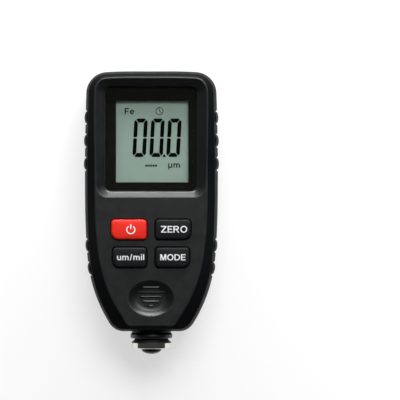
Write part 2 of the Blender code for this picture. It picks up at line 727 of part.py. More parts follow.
def board_screw_places():
    upper, lower = LENS_LOWER_EDGE - UPPER_POST_GAP, BOTTOM_END + LOWER_POST_HEIGHT
    return [(side * BOARD_POST_SPREAD, y) for y in (upper, lower) for side in (-1, 1)]


def key_openings():
    """Each key's opening in the face: its low and high corners, and its corner radii."""
    found = {}
    names = (("power_key", "zero_key"), ("unit_key", "mode_key"))
    for row, (pair, margin) in enumerate(zip(names, KEY_SIDE_MARGINS)):
        middle = TOP_END - KEY_ROW_DEPTH - KEY_ROW_PITCH * row
        low, high = middle - KEY_LENGTH / 2 - GAP, middle + KEY_LENGTH / 2 + GAP
        inner = KEY_SPACING / 2
        outer = CASE_WIDTH / 2 - margin
        small = KEY_CORNER + GAP
        large = KEY_LARGE_CORNER + GAP
        found[pair[0]] = ((-outer, low), (-inner, high), (small, small, large, small))
        found[pair[1]] = ((inner, low), (outer, high), (small, large, small, small))
    return found


def key_block(name, finish):
    """A key: skirt under the wall, straight sides through it, and a crowned top."""
    low, high, radii = key_openings()[name]

    def level(sunk, height):
        corners = [max(radius - sunk, KEY_LEAST_CORNER) for radius in radii]
        inner_low, inner_high = (low[0] + sunk, low[1] + sunk), (high[0] - sunk, high[1] - sunk)
        return ring(rounded_outline(inner_low, inner_high, corners, steps=3), height)

    top = FACE + KEY_TOP_HEIGHT
    rings = [level(-KEY_SKIRT, SKIRT_UNDERSIDE), level(-KEY_SKIRT, SKIRT_TOP), level(GAP, SKIRT_TOP)]
    rings += [level(GAP + sunk, top - KEY_CROWN * share) for sunk, share in KEY_CROWN_STEPS]
    centre = ((low[0] + high[0]) / 2, (low[1] + high[1]) / 2, FACE)
    return part(name, loft(name, rings), finish, centre)


def dish_ellipsoid(name, raised=0.0):
    """A scaled sphere that sinks into the face by the dish's depth and leaves the dish's oval there."""
    half_height = 2 * DISH_DEPTH
    cut_share = math.sqrt(1 - (1 - DISH_DEPTH / half_height) ** 2)
    scale = Matrix.Diagonal((DISH_WIDTH / 2 / cut_share, DISH_LENGTH / 2 / cut_share, half_height, 1))
    centre = Vector((0, BOTTOM_END + DISH_HEIGHT, FACE + half_height - DISH_DEPTH + raised))
    work = bmesh.new()
    bmesh.ops.create_uvsphere(
        work, u_segments=SMALL_STEPS * 2, v_segments=SMALL_STEPS, radius=1,
        matrix=Matrix.Translation(centre) @ scale,
    )
    return tool(name, mesh_from(work, name))


def dish_ridges():
    """Low ribs across the dish: bars with round ends, levelled by the dish's own shape a little higher."""
    meshes = []
    middle = BOTTOM_END + DISH_HEIGHT
    for i, length in enumerate(RIDGE_LENGTHS):
        y = middle + RIDGE_PITCH * ((len(RIDGE_LENGTHS) - 1) / 2 - i)
        low, high = (-length / 2, y - RIDGE_WIDTH / 2), (length / 2, y + RIDGE_WIDTH / 2)
        heights = ((FACE - DISH_DEPTH - DISH_FLOOR / 2, 0), (FACE, 0))
        meshes.append(rounded_block("ridge", low, high, (RIDGE_END,) * 4, 1, heights))
    ridges = tool("dish_ridges", joined("dish_ridges", meshes))
    cut(ridges, dish_ellipsoid("ridge_tops", RIDGE_RISE))
    return ridges


def funnel():
    """The recess round the lens: it starts just inside the face's rim and slopes down to the lens."""
    rim = inset(FACE_OUTLINE, FUNNEL_RIM)
    right = [point for point in rim[:len(rim) // 2] if point[0] >= 0]
    lower = LENS_LOWER_EDGE - FUNNEL_SLOPE_END
    top_corner = face_knots()[1][0]
    side_corner = face_knots()[2][0]
    leaving, arriving = TOP_HEADINGS
    foot_x = max(x for x, y, _ in right if y < LENS_MIDDLE) - FUNNEL_FOOT_TUCK
    outer = [
        (Vector((0, rim[0][1])), 0, 0),
        (top_corner + inward(leaving) * FUNNEL_RIM, leaving, 0),
        (side_corner + inward(arriving) * FUNNEL_RIM, arriving, 0),
        (Vector((foot_x, lower + FUNNEL_CORNER)), FUNNEL_FLANK_HEADING, 0),
        (Vector((foot_x - FUNNEL_CORNER, lower)), -180, 0),
        (Vector((0, lower)), -180, 0),
    ]
    half = LENS_WIDTH / 2
    inner = [
        (Vector((0, LENS_UPPER_EDGE)), 0, 0),
        (Vector((half - LENS_CORNER, LENS_UPPER_EDGE)), 0, 0),
        (Vector((half, LENS_UPPER_EDGE - LENS_CORNER)), -90, 0),
        (Vector((half, LENS_LOWER_EDGE + LENS_CORNER)), -90, 0),
        (Vector((half - LENS_CORNER, LENS_LOWER_EDGE)), -180, 0),
        (Vector((0, LENS_LOWER_EDGE)), -180, 0),
    ]
    steps = (1, 6, 2, 4, 1)
    mouth = both_sides(trace(outer, steps))
    foot = both_sides(trace(inner, steps))
    return loft("display_funnel", [ring(mouth, FACE + SWEEP), ring(mouth, FACE), ring(foot, LENS_TOP)])


def lens_outline(margin):
    half = LENS_WIDTH / 2 + margin
    low, high = (-half, LENS_LOWER_EDGE - margin), (half, LENS_UPPER_EDGE + margin)
    return low, high


def chamber_profile():
    """The way for the probe: countersunk mouth, bore, stop shoulder, spring chamber and hole for leads."""
    mouth = HEAD_RADIUS - COLLAR_MOUTH_TUCK
    past = CHAMBER_END + OVERLAP
    return [
        (0, past), (LEAD_HOLE_RADIUS, past), (LEAD_HOLE_RADIUS, SPRING_SEAT), (CHAMBER_RADIUS, SPRING_SEAT),
        (CHAMBER_RADIUS, STOP_SHOULDER), (BORE_RADIUS, STOP_SHOULDER),
        (BORE_RADIUS, COLLAR_END + mouth - BORE_RADIUS), (mouth, COLLAR_END),
        (mouth, COLLAR_END - SWEEP), (0, COLLAR_END - SWEEP),
    ]


def housing_profile():
    """The collar, and the tube inside the case that holds the probe; each shell has half of them."""
    tube = CHAMBER_RADIUS + CHAMBER_WALL
    neck = COLLAR_RADIUS - COLLAR_NECK_DEPTH
    neck_end = BOTTOM_END - COLLAR_NECK_LENGTH
    return [
        (0, CHAMBER_END), (tube, CHAMBER_END), (tube, BOTTOM_END + WALL / 2), (neck, BOTTOM_END + WALL / 2),
        (neck, neck_end), (COLLAR_RADIUS - COLLAR_NECK_DEPTH * 0.3, neck_end - COLLAR_STEP_LENGTH / 2),
        (COLLAR_RADIUS, neck_end - COLLAR_STEP_LENGTH),
        (COLLAR_RADIUS, COLLAR_END + COLLAR_ROUNDING),
        (COLLAR_RADIUS - COLLAR_ROUNDING * 0.3, COLLAR_END + COLLAR_ROUNDING * 0.3),
        (COLLAR_RADIUS - COLLAR_ROUNDING * 0.6, COLLAR_END), (0, COLLAR_END),
    ]


def shared_tools():
    """The shapes that cut or join both shells."""
    far = CASE_LENGTH
    return {
        "pockets": tool("pad_pockets", pad_pockets()),
        "housing": turned("probe_housing", housing_profile()),
        "chamber": turned("probe_chamber", chamber_profile()),
        "below": tool("below_parting", boxes(
            "below_parting", ((-far, -far, -far), (far, far, PARTING_HEIGHT + GAP / 2)))),
        "above": tool("above_parting", boxes(
            "above_parting", ((-far, -far, PARTING_HEIGHT - GAP / 2), (far, far, far)))),
    }


def front_shell(shared):
    shell = part("front_shell", loft("front_shell", front_skin()), CHARCOAL)
    start = PARTING_HEIGHT - OVERLAP
    end = FACE - PAD_FRONT_MARGIN
    levels = (start, (start + end) / 2, end - PAD_CHAMFER)
    pads = grip_pads("front_pads", [(height, PAD_RISE) for height in levels] + [(end, -PAD_GROOVE / 2)])
    cut(shell, shared["pockets"], tool("front_cavity", loft("front_cavity", front_cavity())))

    frame_low, frame_high = lens_outline(GAP + WALL)
    corner = LENS_CORNER + WALL
    window_frame = rounded_block(
        "window_frame", frame_low, frame_high, (corner,) * 4, 3,
        ((LEDGE_UNDERSIDE, 0), (CEILING + OVERLAP, 0)),
    )
    dish_back = posts(
        "dish_back", [(0, BOTTOM_END + DISH_HEIGHT)], DISH_WIDTH / 2 + WALL / 2,
        FACE - DISH_DEPTH - DISH_FLOOR, CEILING + OVERLAP, ROUND_STEPS,
    )
    bore = SCREW_RADIUS + GAP
    supports = joined("front_posts", [
        posts("bosses", case_screw_places(), bore + BOSS_WALL, start, CEILING + OVERLAP / 2),
        posts("board_posts", board_screw_places(), bore + POST_WALL, BOARD_TOP + GAP, CEILING + OVERLAP / 2),
    ])
    housing_half = CHAMBER_RADIUS + CHAMBER_WALL + GAP
    lip_way = boxes("lip_way", (
        (-housing_half, BOTTOM_END + REBATE_INSET, PARTING_HEIGHT - OVERLAP),
        (housing_half, BOTTOM_END + LIP_INSET + LIP_THICKNESS + GAP, REBATE_TOP)))
    fuse(
        shell, tool("window_frame", window_frame), tool("dish_back", dish_back), shared["housing"],
        tool("front_posts", supports), tool("front_pads", pads),
    )
    cut(shell, shared["below"], tool("lip_way", lip_way))

    pocket_low, pocket_high = lens_outline(GAP / 2)
    lens_pocket = rounded_block(
        "lens_pocket", pocket_low, pocket_high, (LENS_CORNER + GAP / 2,) * 4, 3,
        ((LEDGE_TOP, 0), (LENS_TOP + OVERLAP / 2, 0)),
    )
    window_low, window_high = lens_outline(-WINDOW_MARGIN)
    window = rounded_block(
        "window", window_low, window_high, (LENS_CORNER,) * 4, 3,
        ((LEDGE_UNDERSIDE - OVERLAP, 0), (LEDGE_TOP + OVERLAP, 0)),
    )
    key_cutters = joined("key_openings", [
        rounded_block(name, low, high, radii, 3, ((CEILING - SWEEP, 0), (FACE + SWEEP, 0)))
        for name, (low, high, radii) in key_openings().items()
    ])
    screw_tip = CASE_SCREW_SEAT - GAP + CASE_SCREW_REACH
    bores = joined("front_bores", [
        posts("boss_bores", case_screw_places(), bore, PARTING_HEIGHT - OVERLAP, screw_tip + SCREW_TIP_ROOM),
        posts("post_bores", board_screw_places(), bore, BOARD_TOP - OVERLAP, CEILING - WALL / 4),
    ])
    cut(
        shell, tool("display_funnel", funnel()), tool("lens_pocket", lens_pocket),
        tool("window", window), tool("key_openings", key_cutters), tool("front_bores", bores),
        dish_ellipsoid("finger_dish"),
    )
    fuse(shell, dish_ridges())
    cut(shell, shared["chamber"])


def hook_spans():
    """Each door hook's reach along the gauge."""
    starts = [BAY_LOWER_END + share * BAY_LENGTH for share in HOOK_PLACES]
    return [(start, start + HOOK_LENGTH) for start in starts]


def hook_ways():
    """Room for the hooks in the bay's walls: a slot to slide in, and an opening to lift out through."""
    ledge, roof = BACK_WALL - GAP / 2, BACK_WALL + GAP + HOOK_THICKNESS + GAP
    meshes = []
    for low, high in hook_spans():
        end, opening = high + DOOR_TRAVEL + GAP, low + DOOR_TRAVEL - GAP
        profile = [
            (low - GAP, ledge), (low - GAP, roof), (end, roof),
            (end, -OVERLAP), (opening, -OVERLAP), (opening, ledge),
        ]
        for side in (-1, 1):
            across = (side * (BAY_HALF_WIDTH - OVERLAP), side * (BAY_HALF_WIDTH + HOOK_REACH + GAP / 2))
            meshes.append(loft("hook_way", [[Vector((x, y, z)) for y, z in profile] for x in across]))
    return joined("hook_ways", meshes)


def rear_shell(shared):
    shell = part("rear_shell", loft("rear_shell", back_skin()), CHARCOAL)
    end = PARTING_HEIGHT + OVERLAP
    start = PAD_BACK_MARGIN
    levels = (start + PAD_CHAMFER, (start + end) / 2, end)
    pads = grip_pads("rear_pads", [(start, -PAD_GROOVE / 2)] + [(height, PAD_RISE) for height in levels])
    cut(shell, shared["pockets"], tool("back_cavity", loft("back_cavity", back_cavity())))
    seat_radius = SCREW_HEAD_RADIUS + GAP
    bosses = posts("rear_bosses", case_screw_places(), seat_radius + SEAT_WALL, BACK_WALL - OVERLAP, end)
    fuse(shell, tool("rear_bosses", bosses), shared["housing"], tool("rear_pads", pads))
    cut(shell, shared["above"])

    lip = frame_loft(
        "lip", LIP_INSET, LIP_INSET + LIP_THICKNESS, PARTING_HEIGHT - WALL, PARTING_HEIGHT + LIP_HEIGHT,
    )
    bay = boxes("bay_walls", (
        (-BAY_HALF_WIDTH - BAY_WALL, BAY_LOWER_END - BAY_WALL, BACK_WALL - OVERLAP),
        (BAY_HALF_WIDTH + BAY_WALL, BAY_UPPER_END + BAY_WALL, BAY_CEILING + BAY_WALL)))
    fuse(shell, tool("lip", lip), tool("bay_walls", bay))

    bay_room = boxes("bay_room", (
        (-BAY_HALF_WIDTH, BAY_LOWER_END, -OVERLAP), (BAY_HALF_WIDTH, BAY_UPPER_END, BAY_CEILING)))
    door_half = BAY_HALF_WIDTH + DOOR_OVERLAP + GAP
    door_seat = boxes("door_seat", (
        (-door_half, BAY_LOWER_END - DOOR_OVERLAP - GAP, -OVERLAP),
        (door_half, TOP_END + SWEEP, DOOR_PLATE + GAP)))
    counterbores = posts("counterbores", case_screw_places(), seat_radius, -OVERLAP, CASE_SCREW_SEAT)
    shank_holes = posts(
        "shank_holes", case_screw_places(), SCREW_RADIUS + GAP, CASE_SCREW_SEAT - OVERLAP, end)
    cut(
        shell, tool("bay_room", bay_room), tool("door_seat", door_seat), tool("counterbores", counterbores),
        tool("shank_holes", shank_holes), tool("tab_slots", tab_slots()), tool("hook_ways", hook_ways()),
        shared["chamber"],
    )


def battery_door():
    """A plate with the case's rounded edge at its end, inner panel, hooks, thumb grooves and an arrow."""
    lower = BAY_LOWER_END - DOOR_OVERLAP
    half = BAY_HALF_WIDTH + DOOR_OVERLAP
    door = part("battery_door", loft("battery_door", back_skin()), CHARCOAL)
    plate = boxes("door_plate", ((-half, lower, -SWEEP), (half, TOP_END + SWEEP, DOOR_PLATE)))
    keep_common(door, tool("door_plate", plate))

    panel_half = BAY_HALF_WIDTH - GAP
    panel = boxes("door_panel", (
        (-panel_half, BAY_LOWER_END + GAP, DOOR_PLATE - OVERLAP),
        (panel_half, BAY_UPPER_END - DOOR_TRAVEL - GAP, DOOR_INNER)))
    fuse(door, tool("door_panel", panel))
    hook_low = BACK_WALL + GAP
    hook_high = hook_low + HOOK_THICKNESS
    for i, (low, high) in enumerate(hook_spans()):
        for side in (-1, 1):
            root = sorted((side * (panel_half - BAY_WALL), side * panel_half))
            reach = sorted((side * (panel_half - BAY_WALL), side * (BAY_HALF_WIDTH + HOOK_REACH - GAP)))
            stem_top = (hook_low + hook_high) / 2
            stem = boxes("stem", ((root[0], low, DOOR_INNER - OVERLAP), (root[1], high, stem_top)))
            tongue = boxes("tongue", ((reach[0], low, hook_low), (reach[1], high, hook_high)))
            key = f"{'left' if side < 0 else 'right'}_{i}"
            fuse(door, tool(f"hook_stem_{key}", stem), tool(f"hook_{key}", tongue))

    thumb = BAY_LOWER_END + BAY_LENGTH * THUMB_PLACE
    grooves = [
        ((-GRIP_GROOVE_LENGTH / 2, thumb + GRIP_GROOVE_PITCH * i, -OVERLAP),
         (GRIP_GROOVE_LENGTH / 2, thumb + GRIP_GROOVE_PITCH * i + GRIP_GROOVE_WIDTH, GRIP_GROOVE_DEPTH))
        for i in range(GRIP_GROOVES)
    ]
    foot = thumb + GRIP_GROOVE_PITCH * GRIP_GROOVES
    arrow_shape = [(-ARROW_WIDTH / 2, foot, 0), (0, foot + ARROW_LENGTH, 0), (ARROW_WIDTH / 2, foot, 0)]
    arrow = loft("arrow", [ring(arrow_shape, -OVERLAP), ring(arrow_shape, GRIP_GROOVE_DEPTH)])
    cut(door, tool("door_marks", joined("door_marks", [boxes("grooves", *grooves), arrow])))


def display():
    low, high = lens_outline(-GAP / 2)
    corner = LENS_CORNER - GAP / 2
    heights = ((LEDGE_TOP + GAP, 0), (LENS_TOP, 0))
    part("display_lens", rounded_block("display_lens", low, high, (corner,) * 4, 3, heights), SMOKED)

    half_width, half_length = LCD_WIDTH / 2, LCD_LENGTH / 2
    glass = boxes("lcd_panel", (
        (-half_width, LCD_MIDDLE - half_length, LCD_TOP - LCD_THICKNESS),
        (half_width, LCD_MIDDLE + half_length, LCD_TOP)))
    part("lcd_panel", glass, LCD_GREEN)

    strip_low = LCD_MIDDLE - half_length + GAP
    strip = boxes("lcd_connector_strip", (
        (-half_width + WALL, strip_low, BOARD_TOP + GAP),
        (half_width - WALL, strip_low + STRIP_WIDTH, LIGHT_GUIDE_TOP)))
    part("lcd_connector_strip", strip, SILICONE)

    guide = boxes("light_guide", (
        (-half_width + GAP, strip_low + STRIP_WIDTH + GAP, BOARD_TOP + GAP),
        (half_width - GAP, LCD_MIDDLE + half_length - GAP, LIGHT_GUIDE_TOP)))
    part("light_guide", guide, WHITE)

    inner = (half_width + GAP, half_length + GAP)
    outer = (inner[0] + LCD_FRAME_WALL, inner[1] + LCD_FRAME_WALL)
    frame = part("lcd_frame", boxes("lcd_frame", (
        (-outer[0], LCD_MIDDLE - outer[1], BOARD_TOP + GAP),
        (outer[0], LCD_MIDDLE + outer[1], LEDGE_UNDERSIDE - GAP))), BLACK)
    room = boxes("lcd_frame_room", (
        (-inner[0], LCD_MIDDLE - inner[1], BOARD_TOP - OVERLAP), (inner[0], LCD_MIDDLE + inner[1], FACE)))
    cut(frame, tool("lcd_frame_room", room), screw_clearance())


def screw_clearance():
    """What pieces inside the front shell leave free round the top case screws' bosses."""
    found = bpy.data.objects.get("boss_clearance")
    if found:
        return found
    radius = SCREW_RADIUS + GAP + BOSS_WALL + GAP
    return tool("boss_clearance", posts("boss_clearance", case_screw_places(), radius, PARTING_HEIGHT, FACE))


def keys():
    key_block("power_key", RED)
    for name in ("zero_key", "unit_key", "mode_key"):
        key_block(name, RUBBER)
    openings = key_openings()
    centres = [((low[0] + high[0]) / 2, (low[1] + high[1]) / 2) for low, high, _ in openings.values()]
    reach = max(high[0] for _, high, _ in openings.values())
    top = max(high[1] for _, high, _ in openings.values()) + MAT_MARGIN
    bottom = min(low[1] for low, _, _ in openings.values()) - MAT_MARGIN / 2
    mat = part("keypad_mat", rounded_block(
        "keypad_mat", (-reach, bottom), (reach, top), (MAT_MARGIN,) * 4, 3,
        ((BOARD_TOP + GAP, 0), (MAT_TOP, 0))), SILICONE)
    domes = posts("domes", centres, DOME_RADIUS, MAT_TOP - OVERLAP, DOME_TOP, SMALL_STEPS, DOME_TOP_RADIUS)
    hollows = posts(
        "dome_hollows", centres, DOME_RADIUS - DOME_WALL, BOARD_TOP, DOME_TOP - DOME_WALL, SMALL_STEPS,
        DOME_TOP_RADIUS - DOME_WALL)
    fuse(mat, tool("domes", domes))
    cut(mat, tool("dome_hollows", hollows))


def electronics():
    high = TOP_END - BOARD_TOP_MARGIN
    low = high - BOARD_LENGTH
    half = BOARD_WIDTH / 2
    board = part("main_board", rounded_block(
        "main_board", (-half, low), (half, high), (BOARD_CORNER,) * 4, 3,
        ((BOARD_UNDERSIDE, 0), (BOARD_TOP, 0))), BOARD_GREEN)
    low_end, high_end = BOARD_UNDERSIDE - OVERLAP, BOARD_TOP + OVERLAP
    holes = posts("board_holes", board_screw_places(), SCREW_RADIUS + GAP, low_end, high_end)
    cut(board, screw_clearance(), tool("board_holes", holes))

    under = BOARD_UNDERSIDE - GAP
    chip_top = BAY_LOWER_END - BAY_WALL - WALL
    chip = boxes("microcontroller", (
        (-CHIP_SIZE / 2, chip_top - CHIP_SIZE, under - CHIP_THICKNESS), (CHIP_SIZE / 2, chip_top, under)))
    part("microcontroller", chip, CHIP_BLACK)

    crystal_x = CHIP_SIZE / 2 + WALL + CRYSTAL_RADIUS
    centre = (crystal_x, chip_top - CHIP_SIZE / 2, under - CRYSTAL_RADIUS)
    work = bmesh.new()
    bmesh.ops.create_cone(
        work, cap_ends=True, segments=SMALL_STEPS, radius1=CRYSTAL_RADIUS, radius2=CRYSTAL_RADIUS,
        depth=CRYSTAL_LENGTH, matrix=Matrix.Translation(centre) @ Matrix.Rotation(math.pi / 2, 4, "X"),
    )
    part("crystal", mesh_from(work, "crystal"), STEEL)

    width, length, height = CONNECTOR_SIZE
    connector = part("probe_connector", boxes("probe_connector", (
        (-width / 2, low + WALL / 2, under - height), (width / 2, low + WALL / 2 + length, under))), WHITE)
    socket = boxes("socket", (
        (-width / 2 + WALL / 2, low - OVERLAP, under - height + WALL / 3),
        (width / 2 - WALL / 2, low + WALL / 2 + SOCKET_DEPTH, under - WALL / 3)))
    cut(connector, tool("socket", socket))


def screw_mesh(name, reach):
    """A pan-head screw, head down, with its seat at the origin's height."""
    work = bmesh.new()
    bmesh.ops.create_cone(
        work, cap_ends=True, segments=SMALL_STEPS, radius1=SCREW_CROWN_RADIUS, radius2=SCREW_HEAD_RADIUS,
        depth=SCREW_HEAD_HEIGHT, matrix=Matrix.Translation((0, 0, -SCREW_HEAD_HEIGHT / 2)),
    )
    seat = max((face for face in work.faces), key=lambda face: face.calc_center_median().z)
    bmesh.ops.inset_region(work, faces=[seat], thickness=SCREW_HEAD_RADIUS - SCREW_RADIUS)
    shank = bmesh.ops.extrude_face_region(work, geom=[seat])
    top = [item for item in shank["geom"] if isinstance(item, bmesh.types.BMVert)]
    bmesh.ops.translate(work, verts=top, vec=(0, 0, reach))
    bmesh.ops.delete(work, geom=[seat], context="FACES_ONLY")
    return mesh_from(work, name)


def screws():
    sets = (
        ("case_screw", case_screw_places(), CASE_SCREW_SEAT - GAP, CASE_SCREW_REACH),
        ("board_screw", board_screw_places(), BOARD_UNDERSIDE - GAP, BOARD_SCREW_REACH),
    )
    for name, places, seat, reach in sets:
        mesh = screw_mesh(name, reach)
        mesh.materials.append(STEEL)
        for i, (x, y) in enumerate(places):
            screw = bpy.data.objects.new(f"{name}_{i + 1}", mesh)
            screw.location = (x, y, seat)
            PARTS.objects.link(screw)
            foot = seat - SCREW_HEAD_HEIGHT
            bottom = foot + SCREW_CROSS_DEPTH
            half, reach_out = SCREW_CROSS_WIDTH / 2, SCREW_CROSS_LENGTH / 2
            for turn, (dx, dy) in enumerate(((reach_out, half), (half, reach_out))):
                slot = boxes("slot", ((x - dx, y - dy, foot - OVERLAP), (x + dx, y + dy, bottom)))
                cut(screw, tool(f"{name}_{i + 1}_slot_{turn}", slot))


def cell(name, side):
    """One AAA cell. The left one's nub points up the gauge, the right one's down."""
    x = side * CELL_SPACING / 2
    body = CELL_LENGTH - CELL_NUB_LENGTH
    made = turned(name, [
        (0, CELL_LENGTH), (CELL_NUB_RADIUS, CELL_LENGTH), (CELL_NUB_RADIUS, body),
        (CELL_RADIUS - CELL_EDGE, body),
        (CELL_RADIUS, body - CELL_EDGE), (CELL_RADIUS, CELL_EDGE), (CELL_RADIUS - CELL_EDGE, 0), (0, 0),
    ], CELL_GREY, HIDDEN_STEPS)
    if side < 0:
        made.rotation_euler = (-math.pi / 2, 0, 0)
        made.location = (x, BAY_UPPER_END - CONTACT_THICKNESS - GAP - CELL_LENGTH, CELL_HEIGHT)
    else:
        made.rotation_euler = (math.pi / 2, 0, 0)
        made.location = (x, BAY_LOWER_END + CONTACT_THICKNESS + GAP + CELL_LENGTH, CELL_HEIGHT)


def coil_points(start, end, wide, narrow, turns, x, z):
    """A helix along Y about (x, z), from one radius to another."""
    count = turns * SPRING_STEPS
    points = []
    for i in range(count + 1):
        share = i / count
        radius = wide + (narrow - wide) * share
        angle = 2 * math.pi * turns * share
        y = start + (end - start) * share
        points.append((x + radius * math.cos(angle), y, z + radius * math.sin(angle)))
    return points


def wire(name, points, radius, finish, place=(0, 0, 0)):
    curve = bpy.data.curves.new(name, "CURVE")
    curve.dimensions = "3D"
    curve.bevel_depth = radius
    curve.bevel_resolution = 1
    curve.use_fill_caps = True
    spline = curve.splines.new("POLY")
    spline.points.add(len(points) - 1)
    for target, point in zip(spline.points, points):
        target.co = (*(Vector(point) - Vector(place)), 1)
    curve.materials.append(finish)
    made = bpy.data.objects.new(name, curve)
    made.location = place
    PARTS.objects.link(made)


def tab_spans():
    """The solder tabs that run from the two lower contacts up through the bay's ceiling to the board."""
    spans = []
    for side in (-1, 1):
        x = side * CELL_SPACING / 2
        spans.append((x - CONTACT_TAB_WIDTH / 2, x + CONTACT_TAB_WIDTH / 2))
    return spans


def tab_slots():
    return boxes("tab_slots", *[
        ((low - GAP, BAY_LOWER_END - OVERLAP / 2, BAY_CEILING - OVERLAP),
         (high + GAP, BAY_LOWER_END + CONTACT_THICKNESS + 2 * GAP, BAY_CEILING + BAY_WALL + OVERLAP))
        for low, high in tab_spans()])


def battery_contacts():
    low, high = CELL_HEIGHT - CONTACT_LENGTH / 2, CELL_HEIGHT + CONTACT_LENGTH / 2
    wall = BAY_LOWER_END + GAP / 2
    names = ("contact_plate_negative", "contact_plate_positive")
    front = wall + CONTACT_THICKNESS - GAP / 2
    half = CONTACT_WIDTH / 2
    for name, side, tab in zip(names, (-1, 1), tab_spans()):
        x = side * CELL_SPACING / 2
        plate = part(name, boxes(name, ((x - half, wall, low), (x + half, front, high))), NICKEL)
        lug = boxes(f"{name}_tab", ((tab[0], wall, high - OVERLAP), (tab[1], front, BOARD_UNDERSIDE - GAP)))
        fuse(plate, tool(f"{name}_tab", lug))
    wall = BAY_UPPER_END - GAP / 2
    reach = CELL_SPACING / 2 + half
    part("contact_bridge", boxes("contact_bridge", (
        (-reach, wall - CONTACT_THICKNESS + GAP / 2, low), (reach, wall, high))), NICKEL)

    seat = CONTACT_THICKNESS + GAP + BATTERY_WIRE_RADIUS
    free = BATTERY_SPRING_LENGTH - GAP - 2 * BATTERY_WIRE_RADIUS
    for name, side, wall, way in (
        ("battery_spring_left", -1, BAY_LOWER_END, 1), ("battery_spring_right", 1, BAY_UPPER_END, -1),
    ):
        start = wall + way * seat
        x = side * CELL_SPACING / 2
        points = coil_points(
            start, start + way * free, BATTERY_SPRING_RADIUS, BATTERY_SPRING_TIP, BATTERY_SPRING_TURNS,
            x, CELL_HEIGHT)
        wire(name, points, BATTERY_WIRE_RADIUS, SPRING_STEEL)


def probe():
    """The spring probe: all its turned pieces share one axis."""
    tip_bore = TIP_RADIUS + GAP
    underside = HEAD_UNDERSIDE
    turned("probe_sleeve", [
        (NECK_RADIUS, SLEEVE_TOP), (NECK_RADIUS, FLANGE_TOP), (FLANGE_RADIUS, FLANGE_TOP),
        (FLANGE_RADIUS, FLANGE_UNDERSIDE), (NECK_RADIUS, FLANGE_UNDERSIDE), (NECK_RADIUS, FLARE_TOP),
        (HEAD_RADIUS - HEAD_ROUNDING * 0.3, HEAD_TOP + HEAD_ROUNDING * 0.4),
        (HEAD_RADIUS, HEAD_TOP - HEAD_ROUNDING * 0.5),
        (HEAD_RADIUS, underside + HEAD_ROUNDING), (HEAD_RADIUS - HEAD_ROUNDING, underside),
        (tip_bore + HEAD_ROUNDING, underside - UNDERSIDE_RISE), (tip_bore, underside - UNDERSIDE_RISE),
        (tip_bore, SLEEVE_FLOOR), (SLEEVE_BORE, SLEEVE_FLOOR), (SLEEVE_BORE, SLEEVE_TOP),
    ], CHROME)

    tip_flange = SLEEVE_FLOOR + GAP
    tip_top = tip_flange + TIP_FLANGE_THICKNESS
    dome_start = underside - UNDERSIDE_RISE
    dome = dome_start - TIP_END
    curve = []
    for angle in (math.radians(degrees) for degrees in (0, 20, 40, 60, 78)):
        curve.append((TIP_RADIUS * math.cos(angle) ** TIP_FULLNESS, dome_start - dome * math.sin(angle)))
    turned("probe_tip", [
        (0, tip_top), (TIP_RADIUS + TIP_FLANGE, tip_top), (TIP_RADIUS + TIP_FLANGE, tip_flange),
        (TIP_RADIUS, tip_flange), *curve, (0, TIP_END),
    ], CHROME)

    hub = CORE_RADIUS + GAP + BOBBIN_HUB
    rim = SLEEVE_BORE - GAP
    bobbin_low = tip_top + GAP
    bobbin_high = SLEEVE_TOP - CAP_THICKNESS - GAP
    winding = (bobbin_high - bobbin_low - 3 * BOBBIN_FLANGE_THICKNESS) / 2
    levels = [bobbin_high]
    for _ in range(2):
        levels += [levels[-1] - BOBBIN_FLANGE_THICKNESS, levels[-1] - BOBBIN_FLANGE_THICKNESS - winding]
    levels.append(bobbin_low)
    turned("probe_bobbin", [
        (rim, levels[0]), (rim, levels[1]), (hub, levels[1]), (hub, levels[2]), (rim, levels[2]),
        (rim, levels[3]), (hub, levels[3]), (hub, levels[4]), (rim, levels[4]), (rim, levels[5]),
        (CORE_RADIUS + GAP, levels[5]), (CORE_RADIUS + GAP, levels[0]),
    ], WHITE, HIDDEN_STEPS)
    inner = hub + GAP
    outer = inner + COIL_DEPTH
    for name, high, low in (("sense_coil", levels[1], levels[2]), ("drive_coil", levels[3], levels[4])):
        profile = [(outer, high - GAP), (outer, low + GAP), (inner, low + GAP), (inner, high - GAP)]
        turned(name, profile, COPPER, HIDDEN_STEPS)
    turned("probe_core", [
        (0, bobbin_high), (CORE_RADIUS, bobbin_high), (CORE_RADIUS, bobbin_low), (0, bobbin_low),
    ], IRON, SMALL_STEPS)

    lead_hole = LEAD_RADIUS + GAP
    turned("probe_cap", [
        (rim, SLEEVE_TOP), (rim, bobbin_high + GAP), (lead_hole, bobbin_high + GAP), (lead_hole, SLEEVE_TOP),
    ], BLACK, HIDDEN_STEPS)

    start = FLANGE_TOP + GAP + PROBE_WIRE_RADIUS
    end = SPRING_SEAT - GAP - PROBE_WIRE_RADIUS
    points = coil_points(
        start, end, PROBE_SPRING_RADIUS, PROBE_SPRING_RADIUS, PROBE_SPRING_TURNS, 0, PARTING_HEIGHT)
    wire("probe_spring", points, PROBE_WIRE_RADIUS, SPRING_STEEL)

    board_edge = TOP_END - BOARD_TOP_MARGIN - BOARD_LENGTH
    socket_height = BOARD_UNDERSIDE - GAP - CONNECTOR_SIZE[2] / 2
    lead_start = SLEEVE_TOP + GAP
    lead_end = board_edge + WALL / 2 + SOCKET_DEPTH - GAP
    rise = socket_height - PARTING_HEIGHT
    points = []
    for i in range(LEAD_STEPS + 1):
        share = i / LEAD_STEPS
        eased = share * share * (3 - 2 * share)
        points.append((0, lead_start + (lead_end - lead_start) * share, PARTING_HEIGHT + rise * eased))
    wire("probe_lead", points, LEAD_RADIUS, COPPER)


def build():
    shared = shared_tools()
    front_shell(shared)
    rear_shell(shared)
    battery_door()
    display()
    keys()
    electronics()
    screws()
    cell("cell_left", -1)
    cell("cell_right", 1)
    battery_contacts()
    probe()


build()
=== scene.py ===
import math

